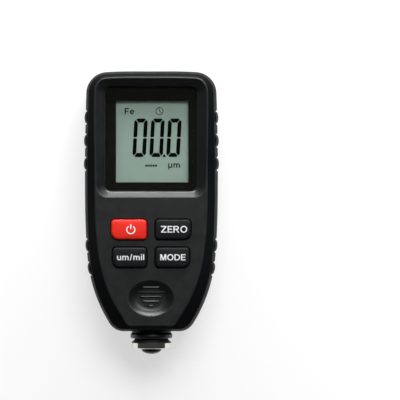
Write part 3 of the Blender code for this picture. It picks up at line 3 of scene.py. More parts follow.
import bmesh
import bpy
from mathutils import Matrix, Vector
from mathutils.geometry import delaunay_2d_cdt


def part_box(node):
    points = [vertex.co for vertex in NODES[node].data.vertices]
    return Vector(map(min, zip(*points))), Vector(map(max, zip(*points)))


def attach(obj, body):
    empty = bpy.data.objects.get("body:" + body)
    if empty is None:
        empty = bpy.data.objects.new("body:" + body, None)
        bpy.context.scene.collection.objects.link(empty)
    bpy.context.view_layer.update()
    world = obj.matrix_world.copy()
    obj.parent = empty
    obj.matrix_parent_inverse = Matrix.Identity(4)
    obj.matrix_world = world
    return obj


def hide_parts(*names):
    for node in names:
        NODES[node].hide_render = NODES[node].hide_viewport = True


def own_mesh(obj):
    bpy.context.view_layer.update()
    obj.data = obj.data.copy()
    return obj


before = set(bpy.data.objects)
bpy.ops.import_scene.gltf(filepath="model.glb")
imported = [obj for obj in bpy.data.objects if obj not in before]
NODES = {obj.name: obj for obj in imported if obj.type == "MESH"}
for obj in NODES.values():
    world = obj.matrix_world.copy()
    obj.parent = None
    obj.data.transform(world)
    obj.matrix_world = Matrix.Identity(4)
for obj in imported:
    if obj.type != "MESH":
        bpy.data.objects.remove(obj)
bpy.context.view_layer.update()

# Shapes are worked out in millimetres, in the part's own frame: +Z out of the face, +Y to the top end.
MM = 0.001

# The case, as the part's source has it
TOP_END, BOTTOM_END = 52.494, -44.0
HALF_WIDTH, FACE, PARTING = 24.7, 26.5, 13.5
GAP, HALF_GAP = 0.3, 0.15
SIDE_CROWN, BACK_EDGE = 1.1, 2.3
SHOULDER_ROUNDING, RIM_ROUNDING, MOUTH_ROUNDING, FUNNEL_INSET = 0.4, 0.5, 0.25, 0.62
WALL, BACK_WALL, CEILING = 2.0, 2.2, 24.3
COLLAR_END, COLLAR_RADIUS, COLLAR_NECK = -46.6, 7.8, 7.3
TUBE_RADIUS, TUBE_TOP = 9.3, -31.9
DISH_MIDDLE, DISH_HALF, DISH_DEPTH = -31.5, (8.35, 6.55), 1.6
LENS_HALF, LENS_TOP_EDGE, LENS_LOW_EDGE, LENS_CORNER = 17.1, 46.4, 8.1, 2.4
LENS_TOP, LEDGE_TOP, LEDGE_UNDERSIDE, LCD_TOP = 24.9, 23.4, 22.4, 22.1
PADS = (35.35, 26.75, 18.15, -12.2, -20.8)
BAY_LOW, BAY_HIGH, BAY_HALF, BAY_CEILING, BAY_WALL = -2.5, 47.0, 11.1, 13.2, 1.2
CELL_PLACE = BAY_HALF / 2
DOOR_HALF, DOOR_LOW, DOOR_TRAVEL = 12.3, -3.7, 8.0
HOOK_LENGTH, HOOK_PLACES = 5.0, (3.44, 24.725)
CASE_SCREWS = ((-17.9, 45.7), (17.9, 45.7), (-15.2, -29.0), (15.2, -29.0))
BOSS_RADIUS, SCREW_SEAT = 3.28, 7.7
SIDE_KNOT, HIP_KNOT = 16.0, -16.5       # heights along the side where its curves meet


# Outlines

def direction(heading):
    return Vector((math.cos(math.radians(heading)), math.sin(math.radians(heading))))


def inward(heading):
    along = direction(heading)
    return Vector((along.y, -along.x))


def curve_point(start, leaving, end, arriving, t):
    """A point of the round curve that leaves start on one heading and arrives at end on another."""
    handle = (end - start).length / (3 * math.cos(math.radians(abs(arriving - leaving)) / 4) ** 2)
    s = 1 - t
    return (start * s ** 3 + (start + direction(leaving) * handle) * (3 * s * s * t)
            + (end - direction(arriving) * handle) * (3 * s * t * t) + end * t ** 3)


def knot_point(knots, segment, t):
    start, leaving, first = knots[segment]
    end, arriving, last = knots[segment + 1]
    place = curve_point(start, leaving, end, arriving, t)
    return place.x, place.y, first + (last - first) * (1 - math.cos(math.pi * t)) / 2


def trace(knots, counts):
    steps = [(segment, i / count) for segment, count in enumerate(counts) for i in range(count)]
    return [knot_point(knots, *step) for step in steps + [(len(counts) - 1, 1.0)]]


def both_sides(half):
    return half + [(-x, y, value) for x, y, value in reversed(half[1:-1])]


def case_knots():
    corner = Vector((HALF_WIDTH - 8.5, TOP_END - 8.25))
    return [
        (Vector((0, TOP_END)), 0, 1.8),
        (corner - inward(-4) * 8, -4, 1.8),
        (corner - inward(-88.5) * 8, -88.5, 2.2),
        (Vector((HALF_WIDTH, SIDE_KNOT)), -90, 2.2),
        (Vector((HALF_WIDTH - 0.95, HIP_KNOT)), -95, 3.0),
        (Vector((HALF_WIDTH - 9.1, -41.0)), -122, 3.0),
        (Vector((10.3, BOTTOM_END)), -180, 0.9),
        (Vector((0, BOTTOM_END)), -180, 0.9),
    ]


def face_knots():
    widths = (2.4, 2.4, 3.125, 3.85, 4.4, 5.6, 2.2, 2.2)
    turns = (0, 0, 0, 0, -4, -3, 0, 0)
    shifts = (0, 0, 0, 0, 0, 0, 2.9, 0)
    return [
        (place + inward(heading) * width - Vector((shift, 0)), heading + turn, drop)
        for (place, heading, drop), width, turn, shift in zip(case_knots(), widths, turns, shifts)
    ]


def share_at(knots, segment, across, value):
    """Where along a segment the curve's x (0) or y (1) has a value."""
    start, end = (knot_point(knots, segment, t)[across] for t in (0.0, 1.0))
    rising = end > start
    low, high = 0.0, 1.0
    for _ in range(40):
        middle = (low + high) / 2
        if (knot_point(knots, segment, middle)[across] > value) == rising:
            high = middle
        else:
            low = middle
    return (low + high) / 2


PAD_OFFSETS = (0.0, 0.6, 1.2, 1.65, 1.95, 2.1, 2.17, 2.21, 2.36, 2.53, 2.58, 2.66, 2.78, 3.05)
PLAIN_COLUMNS = (44.0, 42.0, 40.2, 31.05, 22.45, 13.5, 11, 8.5, 6, 3.5, 1, -1.5, -4, -6.5, HIP_KNOT)


def column_shares():
    """(segment, share) of the wall's columns down the right half, closer together at the pads' edges."""
    knots = case_knots()
    shares = [(0, i / 8) for i in range(8)]
    shares += [(1, i / 16) for i in range(16)]
    places = [round(middle + way * offset, 4) for middle in PADS for offset in PAD_OFFSETS for way in (-1, 1)]
    places += [*PLAIN_COLUMNS, *(-25.5 - 1.55 * i for i in range(10))]
    for y in sorted(set(places), reverse=True):
        segment = 2 if y > SIDE_KNOT else 3 if y > HIP_KNOT else 4
        shares.append((segment, share_at(knots, segment, 1, y)))
    shares += [(5, i / 14) for i in range(14)]
    shares += [(6, i / 6) for i in range(7)]
    return sorted(set(shares))


def case_outline(knots):
    return both_sides([knot_point(knots, segment, t) for segment, t in column_shares()])


CASE_OUTLINE = case_outline(case_knots())
FACE_OUTLINE = case_outline(face_knots())


def inset(outline, distance):
    """The outline moved inwards, by one distance or by a list with one for each point."""
    distances = distance if isinstance(distance, list) else [distance] * len(outline)
    moved = []
    for i, ((x, y, value), sunk) in enumerate(zip(outline, distances)):
        before, after = outline[i - 1], outline[(i + 1) % len(outline)]
        along = Vector((after[0] - before[0], after[1] - before[1])).normalized()
        moved.append((x + along.y * sunk, y - along.x * sunk, value))
    return moved


def ring(outline, height):
    return [Vector((x, y, height)) for x, y, _ in outline]


def mixed(low, middle, high, share):
    """A point of the arc that rounds a corner, from low to high; middle is the corner."""
    s = 1 - share
    return low * (s * s) + middle * (2 * s * share) + high * (share * share)


def arcs(low, middle, high, shares):
    """Rings that round the corner between two rings."""
    return [[mixed(a, b, c, share) for a, b, c in zip(low, middle, high)] for share in shares]


def between(low, high, shares):
    """Rings on the straight slope between two rings."""
    return [[a.lerp(b, share) for a, b in zip(low, high)] for share in shares]


def rounded_outline(low, high, radii, steps=8):
    corners = [(high[0], high[1]), (high[0], low[1]), (low[0], low[1]), (low[0], high[1])]
    signs = [(-1, -1), (-1, 1), (1, 1), (1, -1)]
    outline = []
    for (x, y), (sx, sy), radius, start in zip(corners, signs, radii, (90, 0, -90, -180)):
        centre = Vector((x + sx * radius, y + sy * radius))
        for i in range(steps + 1):
            point = centre + direction(start - 90 * i / steps) * radius
            outline.append((point.x, point.y, 0))
    return outline


# Meshes

def skin(work, rings, closed=(True, True)):
    """Quads between rings of equally many points, with the two ends closed or open; returns the rows."""
    rows = [[work.verts.new(point) for point in points] for points in rings]
    for lower, upper in zip(rows, rows[1:]):
        for i in range(len(lower)):
            j = (i + 1) % len(lower)
            work.faces.new((lower[i], lower[j], upper[j], upper[i]))
    for row, shut in zip((rows[0], rows[-1]), closed):
        if shut:
            work.faces.new(row)
    return rows


def shown(name, data):
    """A new object with this data, in the scene."""
    made = bpy.data.objects.new(name, data)
    bpy.context.scene.collection.objects.link(made)
    return made


def object_of(work, name):
    """The object of a bmesh that was drawn in millimetres."""
    bmesh.ops.recalc_face_normals(work, faces=work.faces)
    bmesh.ops.scale(work, vec=(MM, MM, MM), verts=work.verts)
    mesh = bpy.data.meshes.new(name)
    work.to_mesh(mesh)
    work.free()
    return shown(name, mesh)


def solid(name, *ring_sets):
    """An object of closed skins, to carve with or to show."""
    work = bmesh.new()
    for rings in ring_sets:
        skin(work, rings)
    return object_of(work, name)


def box_tool(name, low, high):
    outline = [(low[0], low[1]), (high[0], low[1]), (high[0], high[1]), (low[0], high[1])]
    return solid(name, [[Vector((x, y, z)) for x, y in outline] for z in (low[2], high[2])])


def block(name, low, high, radii, heights, steps=8):
    """A block with rounded upright corners; heights are (z, inset) pairs, to round or flare its edges."""
    outline = rounded_outline(low, high, radii, steps)
    return solid(name, [ring(inset(outline, sunk), z) for z, sunk in heights])


def circle(radius, steps):
    """Points round the origin."""
    turns = [math.tau * i / steps for i in range(steps)]
    return [(radius * math.cos(turn), radius * math.sin(turn)) for turn in turns]


OPEN = (False, False)


def tube(work, rows):
    """Joins the last row of an open skin to its first."""
    for i in range(len(rows[0])):
        j = (i + 1) % len(rows[0])
        work.faces.new((rows[-1][i], rows[-1][j], rows[0][j], rows[0][i]))


def turned(name, profile, steps=96):
    """A solid turned about the gauge's long axis. A profile of (radius, y) off the axis makes a tube."""
    work = bmesh.new()
    on_axis = profile[0][0] < 1e-6
    inner = profile[1:-1] if on_axis else profile
    rings = [[Vector((x, y, PARTING + z)) for x, z in circle(radius, steps)] for radius, y in inner]
    rows = skin(work, rings, OPEN)
    if on_axis:
        for row, (_, y) in zip((rows[0], rows[-1]), (profile[0], profile[-1])):
            tip = work.verts.new((0, y, PARTING))
            for i in range(steps):
                work.faces.new((row[i], row[(i + 1) % steps], tip))
    else:
        tube(work, rows)
    return object_of(work, name)


def posts(name, places, profile, steps=40):
    """Solids turned about upright axes; the profile is (radius, z) pairs from one end to the other."""
    return solid(name, *[
        [[Vector((x + dx, y + dy, z)) for dx, dy in circle(radius, steps)] for radius, z in profile]
        for x, y in places
    ])


CUT, JOIN, COMMON = "DIFFERENCE", "UNION", "INTERSECT"


def carved(target, steps):
    """The target with each shape cut out, joined on or kept in common, in order; the shapes are used up."""
    for operation, shape in steps:
        step = target.modifiers.new("step", "BOOLEAN")
        step.operation = operation
        step.object = shape
        step.solver = "EXACT"
    bpy.context.view_layer.update()
    shape = target.evaluated_get(bpy.context.evaluated_depsgraph_get())
    mesh = bpy.data.meshes.new_from_object(shape)
    target.modifiers.clear()
    target.data = mesh
    for _, used in steps:
        bpy.data.objects.remove(used)


def piece(made, body, materials, nodes=(), crease=35, weighted=False):
    """Finishes an object: smooth faces with creases, materials, its body, and the node it stands for."""
    made.data.shade_smooth()
    made.data.set_sharp_from_angle(angle=math.radians(crease))
    if weighted:
        even = made.modifiers.new("normals", "WEIGHTED_NORMAL")
        even.keep_sharp = True
        even.weight = 50
    made.data.materials.clear()
    for material in materials:
        made.data.materials.append(MATERIALS[material])
    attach(made, body)
    if nodes:
        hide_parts(*nodes)


# Materials

class Nodes:
    """A material's node tree, with short calls for the nodes that these finishes share."""

    def __init__(self, name):
        self.material = bpy.data.materials.new(name)
        self.material.use_nodes = True
        self.tree = self.material.node_tree
        self.shader = self.tree.nodes["Principled BSDF"]
        self.output = self.tree.nodes["Material Output"]
        self.place = self.tree.nodes.new("ShaderNodeTexCoord").outputs["Object"]

    def add(self, kind, **values):
        node = self.tree.nodes.new(kind)
        for key, value in values.items():
            setattr(node, key, value)
        return node

    def link(self, source, target):
        self.tree.links.new(source, target)

    def noise(self, scale, detail=2.0, roughness=0.5, stretch=None):
        """Noise whose features are 1/scale metres wide; stretch makes them longer one way."""
        source = self.place
        if stretch:
            mapping = self.add("ShaderNodeMapping")
            mapping.inputs["Scale"].default_value = stretch
            self.link(self.place, mapping.inputs["Vector"])
            source = mapping.outputs["Vector"]
        node = self.add("ShaderNodeTexNoise")
        self.link(source, node.inputs["Vector"])
        node.inputs["Scale"].default_value = scale
        node.inputs["Detail"].default_value = detail
        node.inputs["Roughness"].default_value = roughness
        return node.outputs["Fac"]

    def spread(self, source, low, high, start=0.3, end=0.7):
        """Maps a noise's usual range to a range of values."""
        node = self.add("ShaderNodeMapRange")
        self.link(source, node.inputs["Value"])
        for name, value in zip(("From Min", "From Max", "To Min", "To Max"), (start, end, low, high)):
            node.inputs[name].default_value = value
        return node.outputs["Result"]

    def tint(self, source, low, high):
        node = self.add("ShaderNodeMix", data_type="RGBA")
        self.link(source, node.inputs["Factor"])
        node.inputs["A"].default_value = (*low, 1)
        node.inputs["B"].default_value = (*high, 1)
        return node.outputs["Result"]

    def bump(self, source, depth, strength=1.0, before=None):
        node = self.add("ShaderNodeBump")
        self.link(source, node.inputs["Height"])
        node.inputs["Distance"].default_value = depth
        node.inputs["Strength"].default_value = strength
        if before:
            self.link(before, node.inputs["Normal"])
        return node.outputs["Normal"]

    def set(self, **values):
        for name, value in values.items():
            socket = self.shader.inputs[name.replace("_", " ")]
            if isinstance(value, bpy.types.NodeSocket):
                self.link(value, socket)
            else:
                socket.default_value = value
        return self


WAVE_DEPTH = 0.00006


def plastic(name, low, high, rough, grain_scale, grain_depth):
    """Moulded plastic: two close shades, uneven gloss, spark-eroded grain and a very slight waviness."""
    n = Nodes(name)
    shade = n.spread(n.noise(90, 3), 0, 1)
    gloss = n.spread(n.noise(260, 2), rough[0], rough[1])
    grain = n.noise(grain_scale, 2.5, 0.6)
    wave = n.noise(70, 1)
    n.set(Base_Color=n.tint(shade, low, high), Roughness=gloss,
          Normal=n.bump(grain, grain_depth, 1.0, n.bump(wave, WAVE_DEPTH, 0.25)))
    return n.material


def metal(name, low, high, rough, stretch, scratch, scale):
    """Plated or bare metal: close shades, uneven gloss and fine marks, along one way if stretch says so."""
    n = Nodes(name)
    n.set(Metallic=1.0)
    shade = n.spread(n.noise(180, 3), 0, 1)
    marks = n.noise(scale, 4, 0.65, stretch)
    n.set(Base_Color=n.tint(shade, low, high), Roughness=n.spread(marks, rough[0], rough[1]),
          Normal=n.bump(marks, scratch, 0.6))
    return n.material


def build_materials():
    made = {
        "front": plastic("case_front_plastic", (0.0056, 0.0062, 0.0068), (0.0072, 0.0079, 0.0086),
                         (0.34, 0.41), 5200, 0.000012),
        # The edge plastic is a darker copy of the front plastic that barely reflects: painted shade on the
        # front shell's bevels and walls
        "edge": plastic("case_edge_plastic_painted_shade", (0.0034, 0.0038, 0.0044), (0.0046, 0.0051, 0.0058),
                        (0.5, 0.6), 5200, 0.000012),
        "back": plastic("case_back_plastic", (0.0042, 0.0046, 0.005), (0.0058, 0.0063, 0.0068),
                        (0.5, 0.6), 4200, 0.00002),
        "key": plastic("key_rubber_black", (0.0062, 0.0068, 0.0078), (0.0095, 0.0102, 0.0115),
                       (0.46, 0.6), 2600, 0.00006),
        "red": plastic("key_rubber_red", (0.8, 0.02, 0.01), (0.9, 0.03, 0.016), (0.36, 0.46), 3400, 0.00001),
        "black": plastic("black_plastic_inner", (0.008, 0.008, 0.009), (0.012, 0.012, 0.013),
                         (0.45, 0.6), 3000, 0.00002),
        "white": plastic("white_plastic_inner", (0.62, 0.62, 0.6), (0.7, 0.7, 0.68),
                         (0.35, 0.45), 3000, 0.00001),
        "silicone": plastic("grey_silicone", (0.26, 0.27, 0.28), (0.32, 0.33, 0.34),
                            (0.5, 0.65), 1800, 0.00002),
        "board": plastic("board_lacquer", (0.012, 0.09, 0.035), (0.02, 0.13, 0.055),
                         (0.25, 0.4), 900, 0.00002),
        "chip": plastic("chip_resin_fine", (0.012, 0.012, 0.013), (0.018, 0.018, 0.019),
                        (0.45, 0.6), 6000, 0.00002),
        "wrap": plastic("cell_wrap_film", (0.09, 0.1, 0.115), (0.12, 0.13, 0.15), (0.22, 0.34), 800, 0.00001),
        "lead": plastic("lead_insulation", (0.3, 0.03, 0.025), (0.36, 0.045, 0.035),
                        (0.4, 0.5), 2500, 0.00001),
        "ink": plastic("white_ink", (0.8, 0.81, 0.82), (0.88, 0.89, 0.9), (0.45, 0.6), 4000, 0.000004),
        "border": plastic("lens_print_black", (0.0051, 0.0051, 0.0045), (0.0058, 0.0058, 0.0052),
                          (0.34, 0.4), 1500, 0.000002),
        "segment": plastic("lcd_segment", (0.0012, 0.0016, 0.0014), (0.002, 0.0026, 0.0023),
                           (0.4, 0.5), 3000, 0.000002),
        "tip": metal("hardened_tip_steel", (0.008, 0.008, 0.0072), (0.013, 0.013, 0.012), (0.25, 0.35),
                     None, 0.000002, 1500),
        "chrome": metal("polished_chrome", (0.72, 0.7, 0.64), (0.78, 0.76, 0.7), (0.06, 0.13),
                        (1, 18, 1), 0.0000015, 900),
        "steel": metal("zinc_plated_steel", (0.5, 0.5, 0.49), (0.62, 0.61, 0.6), (0.24, 0.38),
                       None, 0.000004, 1200),
        "nickel": metal("nickel_sheet", (0.58, 0.55, 0.5), (0.68, 0.65, 0.6), (0.2, 0.34),
                        (1, 1, 6), 0.000003, 1500),
        "copper": metal("copper_winding", (0.6, 0.2, 0.08), (0.74, 0.28, 0.12), (0.25, 0.4),
                        (1, 60, 1), 0.00002, 500),
        "iron": metal("soft_iron_rod", (0.3, 0.29, 0.28), (0.38, 0.37, 0.36), (0.35, 0.5),
                      (1, 12, 1), 0.000004, 1200),
    }
    for name, level in (("border", 0.0), ("segment", 0.0), ("edge", 0.04), ("back", 0.1), ("key", 0.15),
                        ("red", 0.25)):
        made[name].node_tree.nodes["Principled BSDF"].inputs["Specular IOR Level"].default_value = level
    made["lcd"] = lcd_material()
    made["lens"] = lens_material()
    return made


def lcd_material():
    """The display's reflective film behind glass: pale grey-green with a fine grain."""
    n = Nodes("lcd_film")
    shade = n.spread(n.noise(60, 2), 0, 1)
    grain = n.noise(9000, 1)
    n.set(Base_Color=n.tint(shade, (0.183, 0.248, 0.213), (0.203, 0.27, 0.235)),
          Roughness=n.spread(grain, 0.45, 0.55), Normal=n.bump(grain, 0.000003, 0.5), Specular_IOR_Level=0.1)
    return n.material


def lens_material():
    """Clear plastic with a coat against glare, so its IOR is low; lamps' light goes through it."""
    n = Nodes("lens_clear")
    haze = n.noise(500, 3)
    n.set(Base_Color=(0.97, 0.98, 0.97, 1), Roughness=n.spread(haze, 0.015, 0.03),
          Transmission_Weight=1.0, IOR=1.2)
    clear = n.add("ShaderNodeBsdfTransparent")
    path = n.add("ShaderNodeLightPath")
    mix = n.add("ShaderNodeMixShader")
    n.link(path.outputs["Is Shadow Ray"], mix.inputs[0])
    n.link(n.shader.outputs[0], mix.inputs[1])
    n.link(clear.outputs[0], mix.inputs[2])
    n.link(mix.outputs[0], n.output.inputs["Surface"])
    return n.material


MATERIALS = build_materials()


# The two shells

PAD_BUMP, PAD_HALF, PAD_EDGE, PAD_GROOVE = 0.82, 2.2, 0.5, 0.4
PAD_START = (0.84, 0.7)         # below the front's edge, and above the back's


def pad_height(offset, along, start):
    """How far a pad stands out: along is the distance from the wall's edge, start where the pad begins."""
    def fade(value, solid_to, gone_at):
        share = min(1.0, max(0.0, (value - solid_to) / (gone_at - solid_to)))
        return 1 - share * share * (3 - 2 * share)

    groove = fade(offset, 2.53, 2.78) * (1 - fade(along, start - 0.6, start - 0.35))
    bump = PAD_BUMP * math.sqrt(max(0.0, 1 - (offset / PAD_HALF) ** 2))
    rise = min(1.0, max(0.0, (along - start) / PAD_EDGE))
    return bump * math.sqrt(rise * (2 - rise)) - PAD_GROOVE * groove


# Distance from the parting line and how far in: the groove's edge, softened, then straight on past the cut
PARTING_STEPS = ((0.48, 0.0), (0.38, 0.05), (0.3, 0.15), (0.0, 0.45), (-1.0, 0.45))
PAD_ROWS = (0.0, 0.12, 0.24, 0.33, 0.42, 0.52, 0.68, 0.83, 0.88, 0.96, 1.08, 1.2, 1.36, 1.8)


def nearest_pad(x, y):
    """Distance along the wall to the nearest pad's middle; the ends have none."""
    return min(abs(y - middle) for middle in PADS) if abs(x) > 18 else math.inf


def wall_points(heights, insets, along, start):
    """A ring of the wall: at each column its height, how far it leans in, and the pads' own relief."""
    pads = [pad_height(nearest_pad(x, y), along, start) for x, y, _ in CASE_OUTLINE]
    outline = inset(CASE_OUTLINE, [lean - pad for lean, pad in zip(insets, pads)])
    return [Vector((x, y, z)) for (x, y, _), z in zip(outline, heights)]


def front_wall():
    """Rings of the front shell's outside, from past the parting line up to the flat face."""
    shoulders = [FACE - drop - SHOULDER_ROUNDING for _, _, drop in CASE_OUTLINE]

    def row(heights, extra=0.0, along=5.0):
        leans = [SIDE_CROWN * ((z - PARTING) / (top - PARTING)) ** 2 for z, top in zip(heights, shoulders)]
        return wall_points(heights, [lean + extra for lean in leans], along, PAD_START[0])

    rows = []
    for above, extra in reversed(PARTING_STEPS):
        rows.append(row([PARTING + above] * len(shoulders), extra))
    low = PARTING + PARTING_STEPS[0][0]
    for i in range(1, 9):
        rows.append(row([low + (top - PAD_ROWS[-1] - low) * i / 9 for top in shoulders]))
    for along in reversed(PAD_ROWS):
        rows.append(row([top - along for top in shoulders], 0.0, along))

    shoulder = inset(CASE_OUTLINE, SIDE_CROWN)
    edge = [Vector((x, y, FACE - drop)) for x, y, drop in shoulder]
    below = rows[-1]
    rim = ring(FACE_OUTLINE, FACE)
    above = [a + (b - a).normalized() * SHOULDER_ROUNDING for a, b in zip(edge, rim)]
    before_rim = [b + (a - b).normalized() * RIM_ROUNDING for a, b in zip(edge, rim)]
    face_edge = ring(inset(FACE_OUTLINE, RIM_ROUNDING), FACE)
    rows += arcs(below, edge, above, (0.25, 0.5, 0.75, 1.0))
    rows += between(above, before_rim, (0.06, 0.5, 0.94))
    return rows + arcs(before_rim, rim, face_edge, (0.0, 0.2, 0.4, 0.6, 0.8, 1.0))


def back_wall():
    """Rings of the rear shell's outside, from the flat back up to past the parting line."""
    rings = []
    for i in range(9):
        angle = math.radians(90 * i / 8)
        sunk = SIDE_CROWN + BACK_EDGE * (1 - math.sin(angle))
        rings.append(ring(inset(CASE_OUTLINE, sunk), BACK_EDGE * (1 - math.cos(angle))))
    count = len(CASE_OUTLINE)

    def row(height, extra=0.0, along=5.0):
        lean = SIDE_CROWN * ((PARTING - height) / (PARTING - BACK_EDGE)) ** 2 + extra
        return wall_points([height] * count, [lean] * count, along, PAD_START[1])

    for along in PAD_ROWS[1:]:
        rings.append(row(BACK_EDGE + along * 0.95, 0.0, along))
    low, high = BACK_EDGE + PAD_ROWS[-1] * 0.95, PARTING - PARTING_STEPS[0][0]
    for i in range(1, 8):
        rings.append(row(low + (high - low) * i / 8))
    for below, extra in PARTING_STEPS:
        rings.append(row(PARTING - below, extra))
    return rings


def funnel_rings():
    """The display recess: a rounded rim, a slope down to the lens's outline, and a softened foot."""
    rim = inset(FACE_OUTLINE, FUNNEL_INSET)
    foot_x = max(x for x, y, _ in rim if 8 < y < 27.25) - 0.25
    top_corner, side_corner = face_knots()[1][0], face_knots()[2][0]
    lower = LENS_LOW_EDGE - 2.4
    outer = [
        (Vector((0, rim[0][1])), 0, 0), (top_corner + inward(-4) * FUNNEL_INSET, -4, 0),
        (side_corner + inward(-88.5) * FUNNEL_INSET, -88.5, 0), (Vector((foot_x, lower + 4.4)), -91, 0),
        (Vector((foot_x - 4.2, lower)), -180, 0), (Vector((0, lower)), -180, 0),
    ]
    half = LENS_HALF + 0.02
    places = (
        (0, LENS_TOP_EDGE), (half - LENS_CORNER, LENS_TOP_EDGE), (half, LENS_TOP_EDGE - LENS_CORNER),
        (half, LENS_LOW_EDGE + LENS_CORNER), (half - LENS_CORNER, LENS_LOW_EDGE), (0, LENS_LOW_EDGE))
    inner = [(Vector(place), heading, 0) for place, heading in zip(places, (0, 0, -90, -90, -180, -180))]
    counts = (6, 14, 20, 12, 8)
    mouth, foot = both_sides(trace(outer, counts)), both_sides(trace(inner, counts))
    high, low = ring(mouth, FACE), ring(foot, LENS_TOP)
    wider = inset(mouth, -MOUTH_ROUNDING)
    rows = [ring(wider, FACE + 3), ring(wider, FACE)]
    end = [a + (b - a).normalized() * MOUTH_ROUNDING for a, b in zip(high, low)]
    rows += arcs(rows[-1], high, end, (0.12, 0.35, 0.6, 0.8, 1.0))
    return rows + between(end, low, (0.3, 0.65, 0.94)) + [low]


DISH_EDGE = (0.96, 1.035)       # shares of the dish's half sizes between which its edge is softened


def dish_height(x, y):
    """The dish: a shallow floor, a steep rim round it, and a softened edge where it meets the face."""
    def level(reach):
        rim = max(0.0, (reach - 0.6) / 0.4)
        return FACE - DISH_DEPTH * (1 - 0.1 * reach * reach - 0.9 * rim * rim * (1.6 - 0.6 * rim))

    reach = math.hypot(x / DISH_HALF[0], (y - DISH_MIDDLE) / DISH_HALF[1])
    start, end = DISH_EDGE
    if reach >= end:
        return FACE
    if reach <= start:
        return level(reach)
    return mixed(level(start), FACE, FACE, (reach - start) / (end - start))


def dish_tool():
    start, end = DISH_EDGE
    reaches = (end, end, 1.02, 1.005, 0.99, 0.975, start, 0.93, 0.88,
               0.8, 0.7, 0.6, 0.5, 0.4, 0.3, 0.2, 0.1, 0.03)
    rows = []
    for reach in reaches:
        places = [(DISH_HALF[0] * x, DISH_MIDDLE + DISH_HALF[1] * y) for x, y in circle(reach, 96)]
        rows.append([Vector((x, y, dish_height(x, y) if rows else FACE + 2)) for x, y in places])
    return solid("dish_tool", rows)


RIDGES = ((-27.55, 6.3), (-29.3, 10.0), (-31.0, 8.3), (-32.7, 6.1), (-34.35, 1.8))     # (y, length)
RIDGE_HALF = 0.42
RIDGE_FLANK = ((0.0, -0.35), (0.0, 0.03), (0.03, 0.08), (0.08, 0.13), (0.34, 0.34), (0.37, 0.35))


def ridge_sets():
    """The dish's ribs: bars with round ends and sloping flanks, standing a little out of its floor."""
    sets = []
    for y, length in RIDGES:
        low, high = (-length / 2, y - RIDGE_HALF), (length / 2, y + RIDGE_HALF)
        outline = rounded_outline(low, high, (RIDGE_HALF - 0.01,) * 4, 5)
        sets.append([
            [Vector((px, py, dish_height(px, py) + rise)) for px, py, _ in inset(outline, sunk)]
            for sunk, rise in RIDGE_FLANK
        ])
    return sets


KEY_OPENINGS = {
    "power_key": ((-14.9, -10.1), (-1.35, -2.2), (1.6, 1.4, 2.9, 1.6)),
    "zero_key": ((1.35, -10.1), (14.9, -2.2), (1.5, 2.8, 1.4, 1.5)),
    "unit_key": ((-14.4, -20.4), (-1.35, -12.5), (1.5, 1.4, 2.8, 1.5)),
    "mode_key": ((1.35, -20.4), (14.4, -12.5), (1.5, 2.8, 1.4, 1.5)),
}


def collar_profile():
    """The probe's housing: a tube inside the case, a neck, and the collar with its rounded edges."""
    neck = ((0.0, -1), (0.0, 0.5), (0.06, 0.64), (0.22, 0.78))
    shoulder = ((0.16, 0.94), (0.04, 1.1), (0.0, 1.3))
    edge = ((0.0, 0.6), (0.05, 0.36), (0.18, 0.17), (0.36, 0.05), (0.6, 0.0))
    return [
        (0, TUBE_TOP), (TUBE_RADIUS, TUBE_TOP), (TUBE_RADIUS, BOTTOM_END + 1),
        *((COLLAR_NECK + out, BOTTOM_END - down) for out, down in neck),
        *((COLLAR_RADIUS - sunk, BOTTOM_END - down) for sunk, down in shoulder),
        *((COLLAR_RADIUS - sunk, COLLAR_END + up) for sunk, up in edge), (0, COLLAR_END),
    ]


def chamber_profile():
    """Room for the probe: flared mouth, bore, shoulder and spring chamber."""
    return [
        (0, -31.4), (4.0, -31.4), (4.0, -33.3), (7.9, -33.3), (7.9, -41.5), (6.4, -41.5),
        (6.4, COLLAR_END + 1.3), (6.7, COLLAR_END + 0.7), (7.22, COLLAR_END - 0.05), (7.3, COLLAR_END - 2),
        (0, COLLAR_END - 2),
    ]


def half_space(upper):
    """A block that reaches from just past the parting line up or down past the case."""
    near, far = PARTING - HALF_GAP if upper else PARTING + HALF_GAP, 60.0 if upper else -60.0
    return box_tool("half_space", (-60, -80, min(near, far)), (60, 80, max(near, far)))


PANEL_MARGIN = 0.06             # how far the face's plastic reaches past its edge; past it the bevels and walls take the darker edge plastic, which is painted shade


def is_inside(outline, x, y):
    """Whether a place lies inside a closed outline."""
    inside = False
    for (ax, ay, _), (bx, by, _) in zip(outline, outline[1:] + outline[:1]):
        if (ay > y) != (by > y) and x < ax + (bx - ax) * (y - ay) / (by - ay):
            inside = not inside
    return inside


def lens_box(margin):
    """The corners of the lens's seat, moved outwards by a margin."""
    return ((-LENS_HALF - margin, LENS_LOW_EDGE - margin), (LENS_HALF + margin, LENS_TOP_EDGE + margin))


